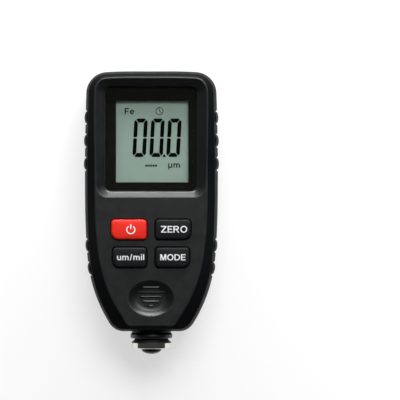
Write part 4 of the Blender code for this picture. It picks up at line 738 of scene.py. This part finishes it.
def build_front_shell():
    shell = solid("front_shell_fine", front_wall())
    cavity = solid("cavity", [
        ring(inset(CASE_OUTLINE, 0.95), PARTING - 1.5), ring(inset(CASE_OUTLINE, 0.95), 14.95),
        ring(inset(CASE_OUTLINE, WALL), 14.95), ring(inset(CASE_OUTLINE, WALL), 17.0),
        ring(inset(CASE_OUTLINE, WALL + SIDE_CROWN), 21.5), ring(inset(FACE_OUTLINE, 0.5), CEILING),
    ])
    frame_heights = ((LEDGE_UNDERSIDE, 0), (CEILING + 0.5, 0))
    window_frame = block("window_frame", *lens_box(2.3), (3.5,) * 4, frame_heights, 5)
    pocket = block("pocket", *lens_box(HALF_GAP), (LENS_CORNER + HALF_GAP,) * 4, (
        (LEDGE_TOP, 0), (LENS_TOP - 0.1, 0), (LENS_TOP + 0.02, -0.06), (LENS_TOP + 0.25, -0.2)))
    window_heights = ((LEDGE_UNDERSIDE - 0.5, 0), (LEDGE_TOP + 0.5, 0))
    window = block("window", *lens_box(-2.6), (1.5,) * 4, window_heights, 4)
    flare = (
        (CEILING - 5, 0), (FACE - 0.2, 0), (FACE - 0.14, -0.01), (FACE - 0.08, -0.04), (FACE - 0.03, -0.1),
        (FACE - 0.005, -0.18), (FACE + 0.02, -0.24), (FACE + 3, -0.25))
    keys = solid("key_ways", *[
        [ring(inset(rounded_outline(low, high, radii), sunk), z) for z, sunk in flare]
        for low, high, radii in KEY_OPENINGS.values()
    ])
    carved(shell, [
        (CUT, cavity), (JOIN, window_frame), (JOIN, turned("housing", collar_profile())),
        (CUT, half_space(False)), (CUT, solid("funnel", funnel_rings())),
        (CUT, pocket), (CUT, window), (CUT, keys), (CUT, dish_tool()),
        (JOIN, solid("ridges", *ridge_sets())), (CUT, turned("chamber", chamber_profile())),
    ])
    piece(shell, "case", ["front", "edge"], ["front_shell"], 32, True)
    # The face, funnel and dish take the front plastic; the bevels and walls take the darker edge plastic,
    # painted shade
    panel = inset(FACE_OUTLINE, -PANEL_MARGIN)
    for face in shell.data.polygons:
        x, y = face.center.x / MM, face.center.y / MM
        face.material_index = 0 if y < BOTTOM_END or is_inside(panel, x, y) else 1


def hook_way_sets():
    """Room in the bay's walls for the door's hooks: a slot to slide in and an opening to lift out of."""
    sets = []
    ledge, roof = BACK_WALL - HALF_GAP, 3.6
    for low in HOOK_PLACES:
        end, opening = low + HOOK_LENGTH + DOOR_TRAVEL + GAP, low + DOOR_TRAVEL - GAP
        profile = [(low - GAP, ledge), (low - GAP, roof), (end, roof), (end, -0.5), (opening, -0.5),
                   (opening, ledge)]
        for side in (-1, 1):
            reach = (side * (BAY_HALF - 0.5), side * (DOOR_HALF + HALF_GAP))
            sets.append([[Vector((x, y, z)) for y, z in profile] for x in reach])
    return sets


def build_rear_shell():
    shell = solid("rear_shell_fine", back_wall())
    cavity = solid("cavity", [
        ring(inset(CASE_OUTLINE, 4.25), BACK_WALL), ring(inset(CASE_OUTLINE, 3.1), 3.35),
        ring(inset(CASE_OUTLINE, WALL), 8.1), ring(inset(CASE_OUTLINE, WALL), 15.0),
    ])
    bosses = posts("bosses", CASE_SCREWS, ((BOSS_RADIUS, BACK_WALL - 0.5), (BOSS_RADIUS, 14.0)), 24)
    outside, inside = inset(CASE_OUTLINE, 1.25), inset(CASE_OUTLINE, 2.05)
    lip = solid("lip", [ring(outside, 11.5), ring(outside, 14.6), ring(inset(outside, 0.1), 14.65)])
    carved(lip, [(CUT, solid("lip_inner", [ring(inside, 8.0), ring(inside, 16.0)]))])
    bay = box_tool(
        "bay", (-BAY_HALF - BAY_WALL, BAY_LOW - BAY_WALL, BACK_WALL - 0.5),
        (BAY_HALF + BAY_WALL, BAY_HIGH + BAY_WALL, BAY_CEILING + BAY_WALL))
    room = box_tool("room", (-BAY_HALF, BAY_LOW, -0.5), (BAY_HALF, BAY_HIGH, BAY_CEILING))
    seat = block("seat", (-DOOR_HALF - GAP, DOOR_LOW - GAP), (DOOR_HALF + GAP, TOP_END + 5), (0.25,) * 4, (
        (-0.5, -0.2), (0.004, -0.18), (0.03, -0.1), (0.08, -0.04), (0.16, 0), (1.2, 0)), 3)
    bores = posts("bores", CASE_SCREWS, (
        (2.5, -0.5), (2.48, 0.004), (2.4, 0.03), (2.34, 0.08), (2.3, 0.16), (2.3, SCREW_SEAT + GAP),
        (1.4, SCREW_SEAT + GAP), (1.4, 14.5)))
    tab = ((-1.3, -2.75), (1.3, -2.75), (1.3, -1.5), (-1.3, -1.5))
    slots = solid("tab_ways", *[
        [[Vector((middle + x, y, z)) for x, y in tab] for z in (BAY_CEILING - 0.5, BAY_CEILING + 1.7)]
        for middle in (-CELL_PLACE, CELL_PLACE)
    ])
    hook_ways = solid("hook_ways", *hook_way_sets())
    carved(shell, [
        (CUT, cavity), (JOIN, bosses), (JOIN, turned("housing", collar_profile())),
        (CUT, half_space(True)), (JOIN, lip), (JOIN, bay), (CUT, room),
        (CUT, seat), (CUT, bores), (CUT, slots), (CUT, hook_ways),
        (CUT, turned("chamber", chamber_profile())),
    ])
    piece(shell, "case", ["back"], ["rear_shell"], 32, True)


HOOK_REACH, PANEL_END = 1.2, 38.7
THUMB_PLACE, GROOVES, GROOVE_PITCH = 9.875, 4, 1.9


def build_door():
    """The battery door: the case's rounded edge at its top, softened edges, grooves, arrow and hooks."""
    door = solid("battery_door_fine", back_wall())
    plate = block("plate", (-DOOR_HALF, DOOR_LOW), (DOOR_HALF, TOP_END + 5), (0.2,) * 4, (
        (-0.5, 0.18), (0.004, 0.16), (0.03, 0.09), (0.08, 0.03), (0.16, 0), (0.9, 0)), 3)
    half = BAY_HALF - GAP
    panel_heights = ((0.4, 0), (2.0, 0), (2.1, 0.1))
    panel = block("panel", (-half, BAY_LOW + GAP), (half, PANEL_END), (0.4,) * 4, panel_heights, 3)
    steps = [(COMMON, plate), (JOIN, panel)]
    for low in HOOK_PLACES:
        for side in (-1, 1):
            for reach, under, over in ((half, 1.6, 2.9), (half + HOOK_REACH, 2.5, 3.3)):
                near, far = sorted((side * (half - HOOK_REACH), side * reach))
                hook = box_tool("hook", (near, low, under), (far, low + HOOK_LENGTH, over))
                steps.append((JOIN, hook))
    edge = ((-0.5, -0.14), (0.004, -0.12), (0.03, -0.06), (0.09, -0.01), (0.16, 0.0), (0.3, 0.06),
            (0.38, 0.16), (0.4, 0.26))
    marks = []
    for i in range(GROOVES):
        y = THUMB_PLACE + GROOVE_PITCH * i
        outline = rounded_outline((-5, y), (5, y + 0.8), (0.38,) * 4, 5)
        marks.append([ring(inset(outline, sunk), z) for z, sunk in edge])
    foot = THUMB_PLACE + GROOVE_PITCH * GROOVES
    arrow = [(-2, foot, 0), (0, foot + 2.8, 0), (2, foot, 0)]
    marks.append([ring(arrow, z) for z in (-0.5, 0.4)])
    steps.append((CUT, solid("marks", *marks)))
    carved(door, steps)
    piece(door, "door", ["back"], ["battery_door"], 32, True)


# Letters and figures, drawn as plain strokes

STEM, BAR = 0.185, 0.155        # widths of upright and level strokes, as shares of a capital's height
X_HEIGHT = 0.73
PRINT_RISE = 0.035


def rect(left, low, right, high):
    return [(left, low), (right, low), (right, high), (left, high)]


def bow(x, y, across, up, stem, bar, start, end, steps=28):
    """Part of an upright oval ring, as two or more bands; across and up are its outer radii."""
    bands = []
    count = max(2, round(abs(end - start) / 90))
    for k in range(count):
        first = start + (end - start) * k / count
        last = start + (end - start) * (k + 1) / count
        outer, inner = [], []
        for i in range(steps // count + 2):
            angle = math.radians(first + (last - first) * i / (steps // count + 1))
            outer.append((x + across * math.cos(angle), y + up * math.sin(angle)))
            inner.append((x + (across - stem) * math.cos(angle), y + (up - bar) * math.sin(angle)))
        bands.append(outer + inner[::-1])
    return bands


def glyph(letter, s, b):
    """A letter's strokes and its width, in units of a capital's height; s and b are its stroke widths."""
    def arches(middles, radius):
        shapes = []
        for middle in middles:
            shapes += bow(middle, X_HEIGHT + 0.01 - 0.31, radius, 0.31, s, b, 180, 0)
        return shapes

    def cup(width):
        middle = width / 2
        return bow(middle, 0.32, middle, 0.335, s, b, 180, 360) + [
            rect(0, 0.32, s, X_HEIGHT), rect(width - s, 0, width, X_HEIGHT)]

    step = (1.08 - s) / 2
    lean = 1.35 * s
    glyphs = {
        "Z": (0.84, [rect(0, 1 - b, 0.84, 1), rect(0, 0, 0.84, b),
                     [(0, b * 0.9), (lean, b * 0.9), (0.84, 1 - b * 0.9), (0.84 - lean, 1 - b * 0.9)]]),
        "E": (0.74, [rect(0, 0, s, 1), rect(0, 1 - b, 0.73, 1), rect(0, 0, 0.74, b),
                     rect(0, 0.515 - b / 2, 0.68, 0.515 + b / 2)]),
        "F": (0.68, [rect(0, 0, s, 1), rect(0, 1 - b, 0.68, 1), rect(0, 0.5 - b / 2, 0.58, 0.5 + b / 2)]),
        "R": (0.9, [rect(0, 0, s, 1), rect(0, 1 - b, 0.5, 1), rect(0, 0.42, 0.5, 0.42 + b),
                    [(0.36, 0.45), (0.36 + s, 0.45), (0.92, 0), (0.92 - 1.2 * s, 0)],
                    *bow(0.5, 0.71, 0.33, 0.29, s, b, 90, -90)]),
        "O": (1.04, bow(0.52, 0.5, 0.52, 0.515, s * 1.03, b, 0, 360, 56)),
        "M": (1.0, [rect(0, 0, s * 0.95, 1), rect(1 - s * 0.95, 0, 1, 1),
                    [(0, 1), (0.41, 0), (0.59, 0), (0.285, 1)], [(1, 1), (0.59, 0), (0.41, 0), (0.715, 1)]]),
        "D": (0.93, [rect(0, 0, s, 1), rect(0, 1 - b, 0.42, 1), rect(0, 0, 0.42, b),
                     *bow(0.42, 0.5, 0.51, 0.5, s * 1.03, b, 90, -90)]),
        "u": (0.68, cup(0.68)),
        "µ": (0.68, cup(0.68) + [rect(0, -0.27, s, X_HEIGHT)]),
        "m": (1.08, arches((step / 2 + s / 2, step * 1.5 + s / 2), (step + s) / 2) + [
            rect(0, 0, s, X_HEIGHT), rect(step, 0, step + s, 0.43), rect(2 * step, 0, 2 * step + s, 0.43)]),
        "/": (0.42, [[(0, -0.03), (s * 0.8, -0.03), (0.42, 1.02), (0.42 - s * 0.8, 1.02)]]),
        "i": (s, [rect(0, 0, s, X_HEIGHT), rect(0, 1 - b * 1.05, s, 1)]),
        "l": (s, [rect(0, 0, s, 1)]),
        "e": (0.7, bow(0.35, 0.365, 0.35, 0.375, s, b, 8, 318, 42) + [
            rect(s * 0.6, 0.31, 0.7 - s * 0.3, 0.31 + b * 0.85),
            [(0.7 - s, 0.31), (0.7, 0.31), (0.7, 0.4), (0.7 - s, 0.43)]]),
    }
    return glyphs[letter]


def shifted(shapes, place):
    return [[(x + place[0], y + place[1]) for x, y in shape] for shape in shapes]


def lettering(text, size, gap, stem=STEM, bar=BAR):
    """The strokes of a word whose middle is at the origin; size is a capital's height."""
    shapes, reach = [], 0.0
    for letter in text:
        width, strokes = glyph(letter, stem, bar)
        shapes += [[((x + reach) * size, (y - 0.5) * size) for x, y in stroke] for stroke in strokes]
        reach += width + gap
    return shifted(shapes, ((gap - reach) * size / 2, 0))


def figure(name, shapes, surface, thickness):
    """One thin solid of overlapping flat shapes, with its top on a surface given by a function."""
    points, loops = [], []
    for shape in shapes:
        turns = sum(a[0] * b[1] - b[0] * a[1] for a, b in zip(shape, shape[1:] + shape[:1]))
        loops.append(list(range(len(points), len(points) + len(shape))))
        points += [Vector(point) for point in (shape if turns > 0 else shape[::-1])]
    places, _, triangles, _, _, origins = delaunay_2d_cdt(points, [], loops, 1, 1e-5)
    kept = [triangle for triangle, origin in zip(triangles, origins) if origin]
    edges = {(a, b) for triangle in kept for a, b in zip(triangle, triangle[1:] + triangle[:1])}
    work = bmesh.new()
    top, under = (
        {i: work.verts.new((*places[i], surface(*places[i]) - drop)) for i in sorted({a for a, _ in edges})}
        for drop in (0, thickness))
    for triangle in kept:
        work.faces.new([top[i] for i in triangle])
        work.faces.new([under[i] for i in reversed(triangle)])
    for a, b in sorted(edges):
        if (b, a) not in edges:
            work.faces.new((top[b], top[a], under[a], under[b]))
    return object_of(work, name)


# Keys

KEY_TOP, KEY_SIDE_TOP, KEY_ROUNDING = 28.04, 27.35, 0.62
SKIRT_LOW, SKIRT_HIGH, SKIRT_REACH = 22.9, 24.0, 0.8


def key_place(name):
    """The middle of a key's opening, and half its size."""
    low, high, _ = KEY_OPENINGS[name]
    return ((low[0] + high[0]) / 2, (low[1] + high[1]) / 2), ((high[0] - low[0]) / 2, (high[1] - low[1]) / 2)


def key_dome(name, x, y):
    """A key's gently crowned top."""
    middle, half = key_place(name)
    u, v = (x - middle[0]) / half[0], (y - middle[1]) / half[1]
    return KEY_TOP - 0.14 * u * u - 0.16 * v * v


def build_key(name, body, material):
    low, high, radii = KEY_OPENINGS[name]
    opening = rounded_outline(low, high, radii, 9)
    skirt, sides = inset(opening, -SKIRT_REACH), inset(opening, GAP)
    work = bmesh.new()
    rings = [
        ring(skirt, SKIRT_LOW), ring(skirt, SKIRT_HIGH), ring(sides, SKIRT_HIGH), ring(sides, FACE),
        ring(sides, KEY_SIDE_TOP - 0.3),
    ]
    edge = GAP + KEY_ROUNDING
    rim = rounded_outline((low[0] + edge, low[1] + edge), (high[0] - edge, high[1] - edge),
                          [max(radius - 0.35, 0.75) for radius in radii], 9)
    shoulder = [Vector((x, y, key_dome(name, x, y))) for x, y, _ in rim]
    corner = [Vector((a[0], a[1], key_dome(name, a[0], a[1]) - 0.02)) for a in sides]
    rings += arcs(rings[-1], corner, shoulder, (0.12, 0.26, 0.4, 0.55, 0.7, 0.85, 1.0))
    rows = skin(work, rings, (True, False))

    # The crown: a fine net of triangles inside the last ring
    count = len(rim)
    points = [Vector((x, y)) for x, y, _ in rim + inset(rim, 0.22)]
    middle, half = key_place(name)
    for i in range(-12, 13):
        for j in range(-7, 8):
            x, y = i * 0.5, j * 0.42
            if abs(x) < half[0] - 1.6 and abs(y) < half[1] - 1.6:
                points.append(Vector((middle[0] + x, middle[1] + y)))
    edges = [(i, (i + 1) % count) for i in range(count)]
    places, _, faces, origins, _, _ = delaunay_2d_cdt(points, edges, [], 1, 1e-5)
    top = []
    for (x, y), origin in zip(places, origins):
        on_rim = [i for i in origin if i < count]
        top.append(rows[-1][on_rim[0]] if on_rim else work.verts.new((x, y, key_dome(name, x, y))))
    for face in faces:
        work.faces.new([top[i] for i in face])
    piece(object_of(work, f"{name}_fine"), body, [material], [name], 40)


def power_shapes():
    """A generic stand-by sign: an open ring with a bar in its gap."""
    return bow(0, 0, 1.7, 1.7, 0.44, 0.44, 124, 416) + [rect(-0.22, 0.2, 0.22, 2.0)]


def legend(name, key, shapes, body, shift):
    """Print on a key: a thin figure that follows the key's crown."""
    middle, _ = key_place(key)
    place = (middle[0] + shift[0], middle[1] + shift[1])
    made = figure(name, shifted(shapes, place), lambda x, y: key_dome(key, x, y) + PRINT_RISE, 0.05)
    piece(made, body, ["ink"], crease=30)


def build_keys():
    build_key("power_key", "power_button", "red")
    for name, body in (("zero_key", "zero_button"), ("unit_key", "unit_button"), ("mode_key", "mode_button")):
        build_key(name, body, "key")
    legend("power_sign", "power_key", power_shapes(), "power_button", (0.7, -0.05))
    legend("zero_legend", "zero_key", lettering("ZERO", 2.45, 0.14), "zero_button", (0.4, 0.1))
    legend("mode_legend", "mode_key", lettering("MODE", 2.25, 0.14), "mode_button", (0.18, 0.1))
    legend("unit_legend", "unit_key", lettering("um/mil", 2.2, 0.18), "unit_button", (0.4, 0.15))


# Display

def digit_outlines(left, bottom, width, height, lit, slant):
    """A slanted seven-segment figure's lit bars, with pointed joints and small gaps between them."""
    upright, level, g = 1.42, 1.5, 0.12
    mid = height / 2
    side = [(0, mid + g * 2.6), (0, height - 1.15), (0.6, height - 0.5), (upright, height - level - g),
            (upright, mid + g * 3.4), (upright * 0.5, mid + g * 1.4)]
    top = [(0.78, height - 0.36), (1.2, height), (width - 1.2, height), (width - 0.78, height - 0.36),
           (width - upright - g * 1.2, height - level), (upright + g * 1.2, height - level)]
    shapes = {
        "upper_left": side, "top": top,
        "upper_right": [(width - x, y) for x, y in side],
        "lower_left": [(x, height - y) for x, y in side],
        "lower_right": [(width - x, height - y) for x, y in side],
        "bottom": [(x, height - y) for x, y in top],
    }
    return [[(left + x + y * slant, bottom + y) for x, y in shapes[name]] for name in lit]


def lcd_mark(name, shapes, place=(0.0, 0.0)):
    """Dark segments on the display, as one thin solid just over its film."""
    made = figure(name, shifted(shapes, place), lambda x, y: LCD_TOP + 0.045, 0.04)
    piece(made, "case", ["segment"], crease=30)


LENS_BASE = 23.7
CLEAR_WINDOW = ((-12.95, 11.25), (13.75, 41.25))


def build_display():
    zero = ("top", "bottom", "upper_left", "upper_right", "lower_left", "lower_right")
    digits = []
    for left in (-6.98, -0.72, 5.52):
        digits += digit_outlines(left, 20.6, 5.0, 14.2, zero, 0.055)
    digits.append([(4.22, 20.6), (5.46, 20.6), (5.1, 21.5), (4.62, 21.5)])
    lcd_mark("lcd_figures", digits)
    dots = [[(0.9 * i + x, y) for x, y in circle(0.39, 16)] for i in range(-2, 3)]
    lcd_mark("lcd_count_dots", dots, (0.02, 17.42))
    clock = bow(0, 0, 1.45, 1.45, 0.26, 0.26, 0, 360, 48)
    hands = [rect(-0.12, -0.05, 0.12, 1.0), [(-0.1, -0.04), (0.62, -0.74), (0.78, -0.58), (0.1, 0.1)]]
    lcd_mark("lcd_clock", clock + hands, (3.1, 37.55))
    lcd_mark("lcd_iron_mark", lettering("Fe", 2.3, 0.17, 0.185, 0.17), (-8.0, 37.5))
    lcd_mark("lcd_unit_mark", lettering("µm", 2.2, 0.2, 0.185, 0.17), (8.45, 17.75))

    outline = rounded_outline(*lens_box(-HALF_GAP), (LENS_CORNER - HALF_GAP,) * 4)
    lens = solid("lens_fine", [ring(outline, z) for z in (LENS_BASE, LENS_TOP)])
    piece(lens, "case", ["lens"], ["display_lens"], 30)

    window = rounded_outline(*CLEAR_WINDOW, (0.12,) * 4)
    outer = inset(outline, 0.05)
    low, high = LENS_BASE - 0.04, LENS_BASE - 0.01
    work = bmesh.new()
    tube(work, skin(work, [ring(outer, low), ring(outer, high), ring(window, high), ring(window, low)], OPEN))
    piece(object_of(work, "lens_border_print"), "case", ["border"], crease=30)


# Probe and screws

def rounded_profile(points, steps=5):
    """A profile whose corners are rounded, each point with its own radius."""
    made = []
    for i, (x, y, radius) in enumerate(points):
        here = Vector((x, y))
        before, after = (Vector(points[k % len(points)][:2]) - here for k in (i - 1, i + 1))
        start, end = (here + way.normalized() * min(radius, way.length * 0.45) for way in (before, after))
        made += [tuple(mixed(start, here, end, k / steps)) for k in range(steps + 1)]
    return made


NECK_END = -48.35               # above it the sleeve is black, below it chromed
SLEEVE_STEP, SLEEVE_END, TIP_END = -49.0, -50.7, -52.495
TIP_RADIUS, TIP_DOME = 3.75, 1.795


def build_probe():
    sleeve = rounded_profile([
        (6.1, -37.5, 0.1), (6.1, -39.3, 0.1), (7.6, -40.2, 0.1), (7.6, -41.2, 0.1), (6.1, -41.2, 0.05),
        (6.1, -46.75, 0.3), (6.5, -47.3, 0.4), (7.38, -48.1, 0.22), (7.4, -50.3, 0.3), (4.3, SLEEVE_END, 0.2),
        (4.0, SLEEVE_END, 0.06), (4.0, SLEEVE_STEP, 0.05), (5.3, SLEEVE_STEP, 0.05), (5.3, -37.5, 0.1),
    ])
    made = turned("probe_sleeve_fine", sleeve, 128)
    piece(made, "probe", ["chrome", "black"], ["probe_sleeve"], 40)
    for face in made.data.polygons:
        face.material_index = 1 if face.center.y / MM > NECK_END else 0
    top = SLEEVE_STEP + GAP + 0.9
    shank = [(0, top), (4.35, top), (4.45, top - 0.1), (4.45, top - 0.9), (3.8, top - 0.95),
             (TIP_RADIUS, top - 1.05)]
    turns = [math.radians(degrees) for degrees in range(0, 86, 5)]
    dome = [(TIP_RADIUS * math.cos(turn) ** 1.15, SLEEVE_END - TIP_DOME * math.sin(turn)) for turn in turns]
    tip = turned("probe_tip_fine", shank + dome + [(0, TIP_END)])
    piece(tip, "probe", ["tip"], ["probe_tip"], 40)


def build_screws():
    """The case screws' pan heads with their cross recesses, down in the counterbores."""
    head = ((0.8, -1.6), (1.35, -1.55), (1.75, -1.36), (1.94, -1.1), (2.0, -0.8), (2.0, -0.06), (1.94, 0))
    shaft = ((1.1, 0), (1.1, 13.4), (0.9, 13.9))
    profile = [(radius, SCREW_SEAT + rise) for radius, rise in head + shaft]
    for i, (x, y) in enumerate(CASE_SCREWS):
        screw = posts(f"case_screw_fine_{i + 1}", [(x, y)], profile)
        cuts = []
        for across, up in ((1.05, 0.27), (0.27, 1.05)):
            bar = rect(-across, -up, across, up)
            cuts.append((CUT, solid("cross", [
                [Vector((x + dx * share, y + dy * share, SCREW_SEAT + rise)) for dx, dy in bar]
                for rise, share in ((-2.0, 1.0), (-1.5, 1.0), (-0.75, 0.7))
            ])))
        carved(screw, cuts)
        piece(screw, "case", ["steel"], [f"case_screw_{i + 1}"])


MAT_THICKNESS = 1.0
DOME_FOOT, DOME_CROWN, DOME_WALL = 3.5, 2.5, 0.6
SPRING_WIRE, SPRING_TURNS = 0.3, 4


def build_mat():
    """The keypad's sheet, and a hollow dome under each key."""
    low, high = (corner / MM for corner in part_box("keypad_mat"))
    top, crown = low.z + MAT_THICKNESS, high.z
    places = {key: key_place(key)[0] for key in KEY_OPENINGS}
    edges = ((low.z, 0.1), (low.z + 0.1, 0), (top - 0.1, 0), (top, 0.1))
    sheet = block("keypad_sheet_fine", (low.x, low.y), (high.x, high.y), (1.0,) * 4, edges, 4)
    hollow = DOME_FOOT - DOME_WALL
    hole = ((hollow, low.z - 1), (hollow, top + 1))
    carved(sheet, [(CUT, posts("hole", [place], hole)) for place in places.values()])
    piece(sheet, "case", ["silicone"], ["keypad_mat"])
    foot = top + 0.01
    profile = [(DOME_CROWN - DOME_WALL, crown - DOME_WALL), (hollow, foot), (DOME_FOOT, foot),
               (DOME_CROWN + 0.1, crown - 0.2), (DOME_CROWN - 0.15, crown)]
    for key, (x, y) in places.items():
        dome = posts(f"{key}_dome_fine", [(x, y)], profile, 32)
        piece(dome, "case", ["silicone"])
        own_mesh(dome)


def build_spring():
    """The probe's spring."""
    low, high = (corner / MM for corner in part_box("probe_spring"))
    radius = high.x - SPRING_WIRE
    start, length = low.y + SPRING_WIRE, high.y - low.y - 2 * SPRING_WIRE
    steps = SPRING_TURNS * 40
    rings = []
    for i in range(steps + 1):
        turn = math.tau * SPRING_TURNS * i / steps
        rings.append([
            Vector(((radius + out) * math.cos(turn), start + length * i / steps + rise,
                    PARTING + (radius + out) * math.sin(turn)))
            for out, rise in circle(SPRING_WIRE, 10)
        ])
    spring = solid("probe_spring_fine", rings)
    piece(spring, "case", ["steel"], ["probe_spring"])
    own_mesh(spring)


def dress_nodes():
    """Better finishes for the nodes whose own shape is right."""
    finishes = {
        "lcd": ["lcd_panel"], "silicone": ["lcd_connector_strip"],
        "white": ["light_guide", "probe_connector", "probe_bobbin"], "black": ["lcd_frame", "probe_cap"],
        "board": ["main_board"], "chip": ["microcontroller"], "wrap": ["cell_left", "cell_right"],
        "steel": ["crystal", "board_screw_1", "board_screw_2", "board_screw_3", "board_screw_4",
                  "battery_spring_left", "battery_spring_right"],
        "nickel": ["contact_plate_negative", "contact_plate_positive", "contact_bridge"],
        "copper": ["sense_coil", "drive_coil"], "iron": ["probe_core"], "lead": ["probe_lead"],
    }
    for finish, names in finishes.items():
        for name in names:
            mesh = NODES[name].data
            if not mesh.materials:
                mesh.materials.append(MATERIALS[finish])
            for i in range(len(mesh.materials)):
                mesh.materials[i] = MATERIALS[finish]


# Stage, lights, camera

PIXEL, PHOTO_PIXELS = 0.37037, 400      # a pixel of the photograph in millimetres, and its width in pixels
SENSOR = 36.0
LAMP_TARGET = Vector((0, 0, 0.02))
FRAME_CENTRE = (18.04, 4.72)
CAMERA_HEIGHT = 1400.0
FRAME_HEIGHT = 18.0
FLOOR_GLOW, FLOOR_DROP = 0.62, 0.05
WORLD_FADE = (0.0, 0.12, 0.9, 0.05)     # from this height to that (sines), from this strength to that


def seen_rays(n):
    """1 for what the camera, a reflection or clear plastic sees, 0 for light that falls on a matt surface."""
    path = n.add("ShaderNodeLightPath")
    seen = path.outputs["Is Camera Ray"]
    for kind in ("Is Glossy Ray", "Is Transmission Ray"):
        either = n.add("ShaderNodeMath", operation="MAXIMUM")
        n.link(seen, either.inputs[0])
        n.link(path.outputs[kind], either.inputs[1])
        seen = either.outputs[0]
    return seen


def build_floor():
    """A pale floor that keeps the object's shadow and shows near white."""
    work = bmesh.new()
    bmesh.ops.create_grid(work, x_segments=2, y_segments=2, size=2.0)
    mesh = bpy.data.meshes.new("floor")
    work.to_mesh(mesh)
    work.free()
    floor = shown("floor", mesh)
    n = Nodes("floor_white")
    n.set(Base_Color=(0.43, 0.43, 0.43, 1), Roughness=0.9, Specular_IOR_Level=0.2)
    share = n.add("ShaderNodeMath", operation="MULTIPLY")
    n.link(seen_rays(n), share.inputs[0])
    share.inputs[1].default_value = FLOOR_GLOW
    glow = n.add("ShaderNodeEmission")
    n.link(share.outputs[0], glow.inputs["Strength"])
    total = n.add("ShaderNodeAddShader")
    n.link(n.shader.outputs[0], total.inputs[0])
    n.link(glow.outputs[0], total.inputs[1])
    n.link(total.outputs[0], n.output.inputs["Surface"])
    floor.data.materials.append(n.material)
    floor.location.z = -FLOOR_DROP * MM


def build_world():
    """A pale studio: white round the horizon, dim overhead, white where the camera looks past the floor."""
    world = bpy.data.worlds.new("studio")
    bpy.context.scene.world = world
    world.use_nodes = True
    tree = world.node_tree
    background = tree.nodes["Background"]
    place = tree.nodes.new("ShaderNodeTexCoord")
    split = tree.nodes.new("ShaderNodeSeparateXYZ")
    tree.links.new(place.outputs["Generated"], split.inputs[0])
    rise = tree.nodes.new("ShaderNodeMapRange")
    rise.interpolation_type = "SMOOTHSTEP"
    tree.links.new(split.outputs["Z"], rise.inputs["Value"])
    for name, value in zip(("From Min", "From Max", "To Min", "To Max"), WORLD_FADE):
        rise.inputs[name].default_value = value
    path = tree.nodes.new("ShaderNodeLightPath")
    mix = tree.nodes.new("ShaderNodeMix")
    mix.data_type = "FLOAT"
    tree.links.new(path.outputs["Is Camera Ray"], mix.inputs["Factor"])
    tree.links.new(rise.outputs["Result"], mix.inputs["A"])
    mix.inputs["B"].default_value = 1.0
    tree.links.new(mix.outputs["Result"], background.inputs["Strength"])
    background.inputs["Color"].default_value = (1, 1, 1, 1)


def lamp(name, place, size, power):
    light = bpy.data.lights.new(name, "AREA")
    light.shape = "RECTANGLE"
    light.size, light.size_y = size
    light.energy = power
    made = shown(name, light)
    made.location = place
    made.rotation_euler = (LAMP_TARGET - Vector(place)).to_track_quat("-Z", "Y").to_euler()
    made.visible_transmission = False


def build_lights():
    """A broad lamp past the gauge's top end, and a low strip that draws the edges that face it."""
    lamp("main", (0.16, 0.62, 1.04), (0.8, 0.5), 10.6)
    lamp("low_strip", (0.05, 0.68, 0.16), (0.8, 0.14), 10.0)


def build_camera():
    data = bpy.data.cameras.new("camera")
    camera = shown("camera", data)
    camera.location = (FRAME_CENTRE[0] * MM, FRAME_CENTRE[1] * MM, (CAMERA_HEIGHT + FRAME_HEIGHT) * MM)
    data.sensor_width = SENSOR
    data.lens = SENSOR * CAMERA_HEIGHT / (PHOTO_PIXELS * PIXEL)
    data.clip_start, data.clip_end = 0.05, 20.0
    bpy.context.scene.camera = camera


build_front_shell()
build_rear_shell()
build_door()
build_keys()
build_display()
build_probe()
build_screws()
build_mat()
build_spring()
dress_nodes()
build_floor()
build_world()
build_lights()
build_camera()
bpy.context.scene.view_settings.view_transform = "Standard"
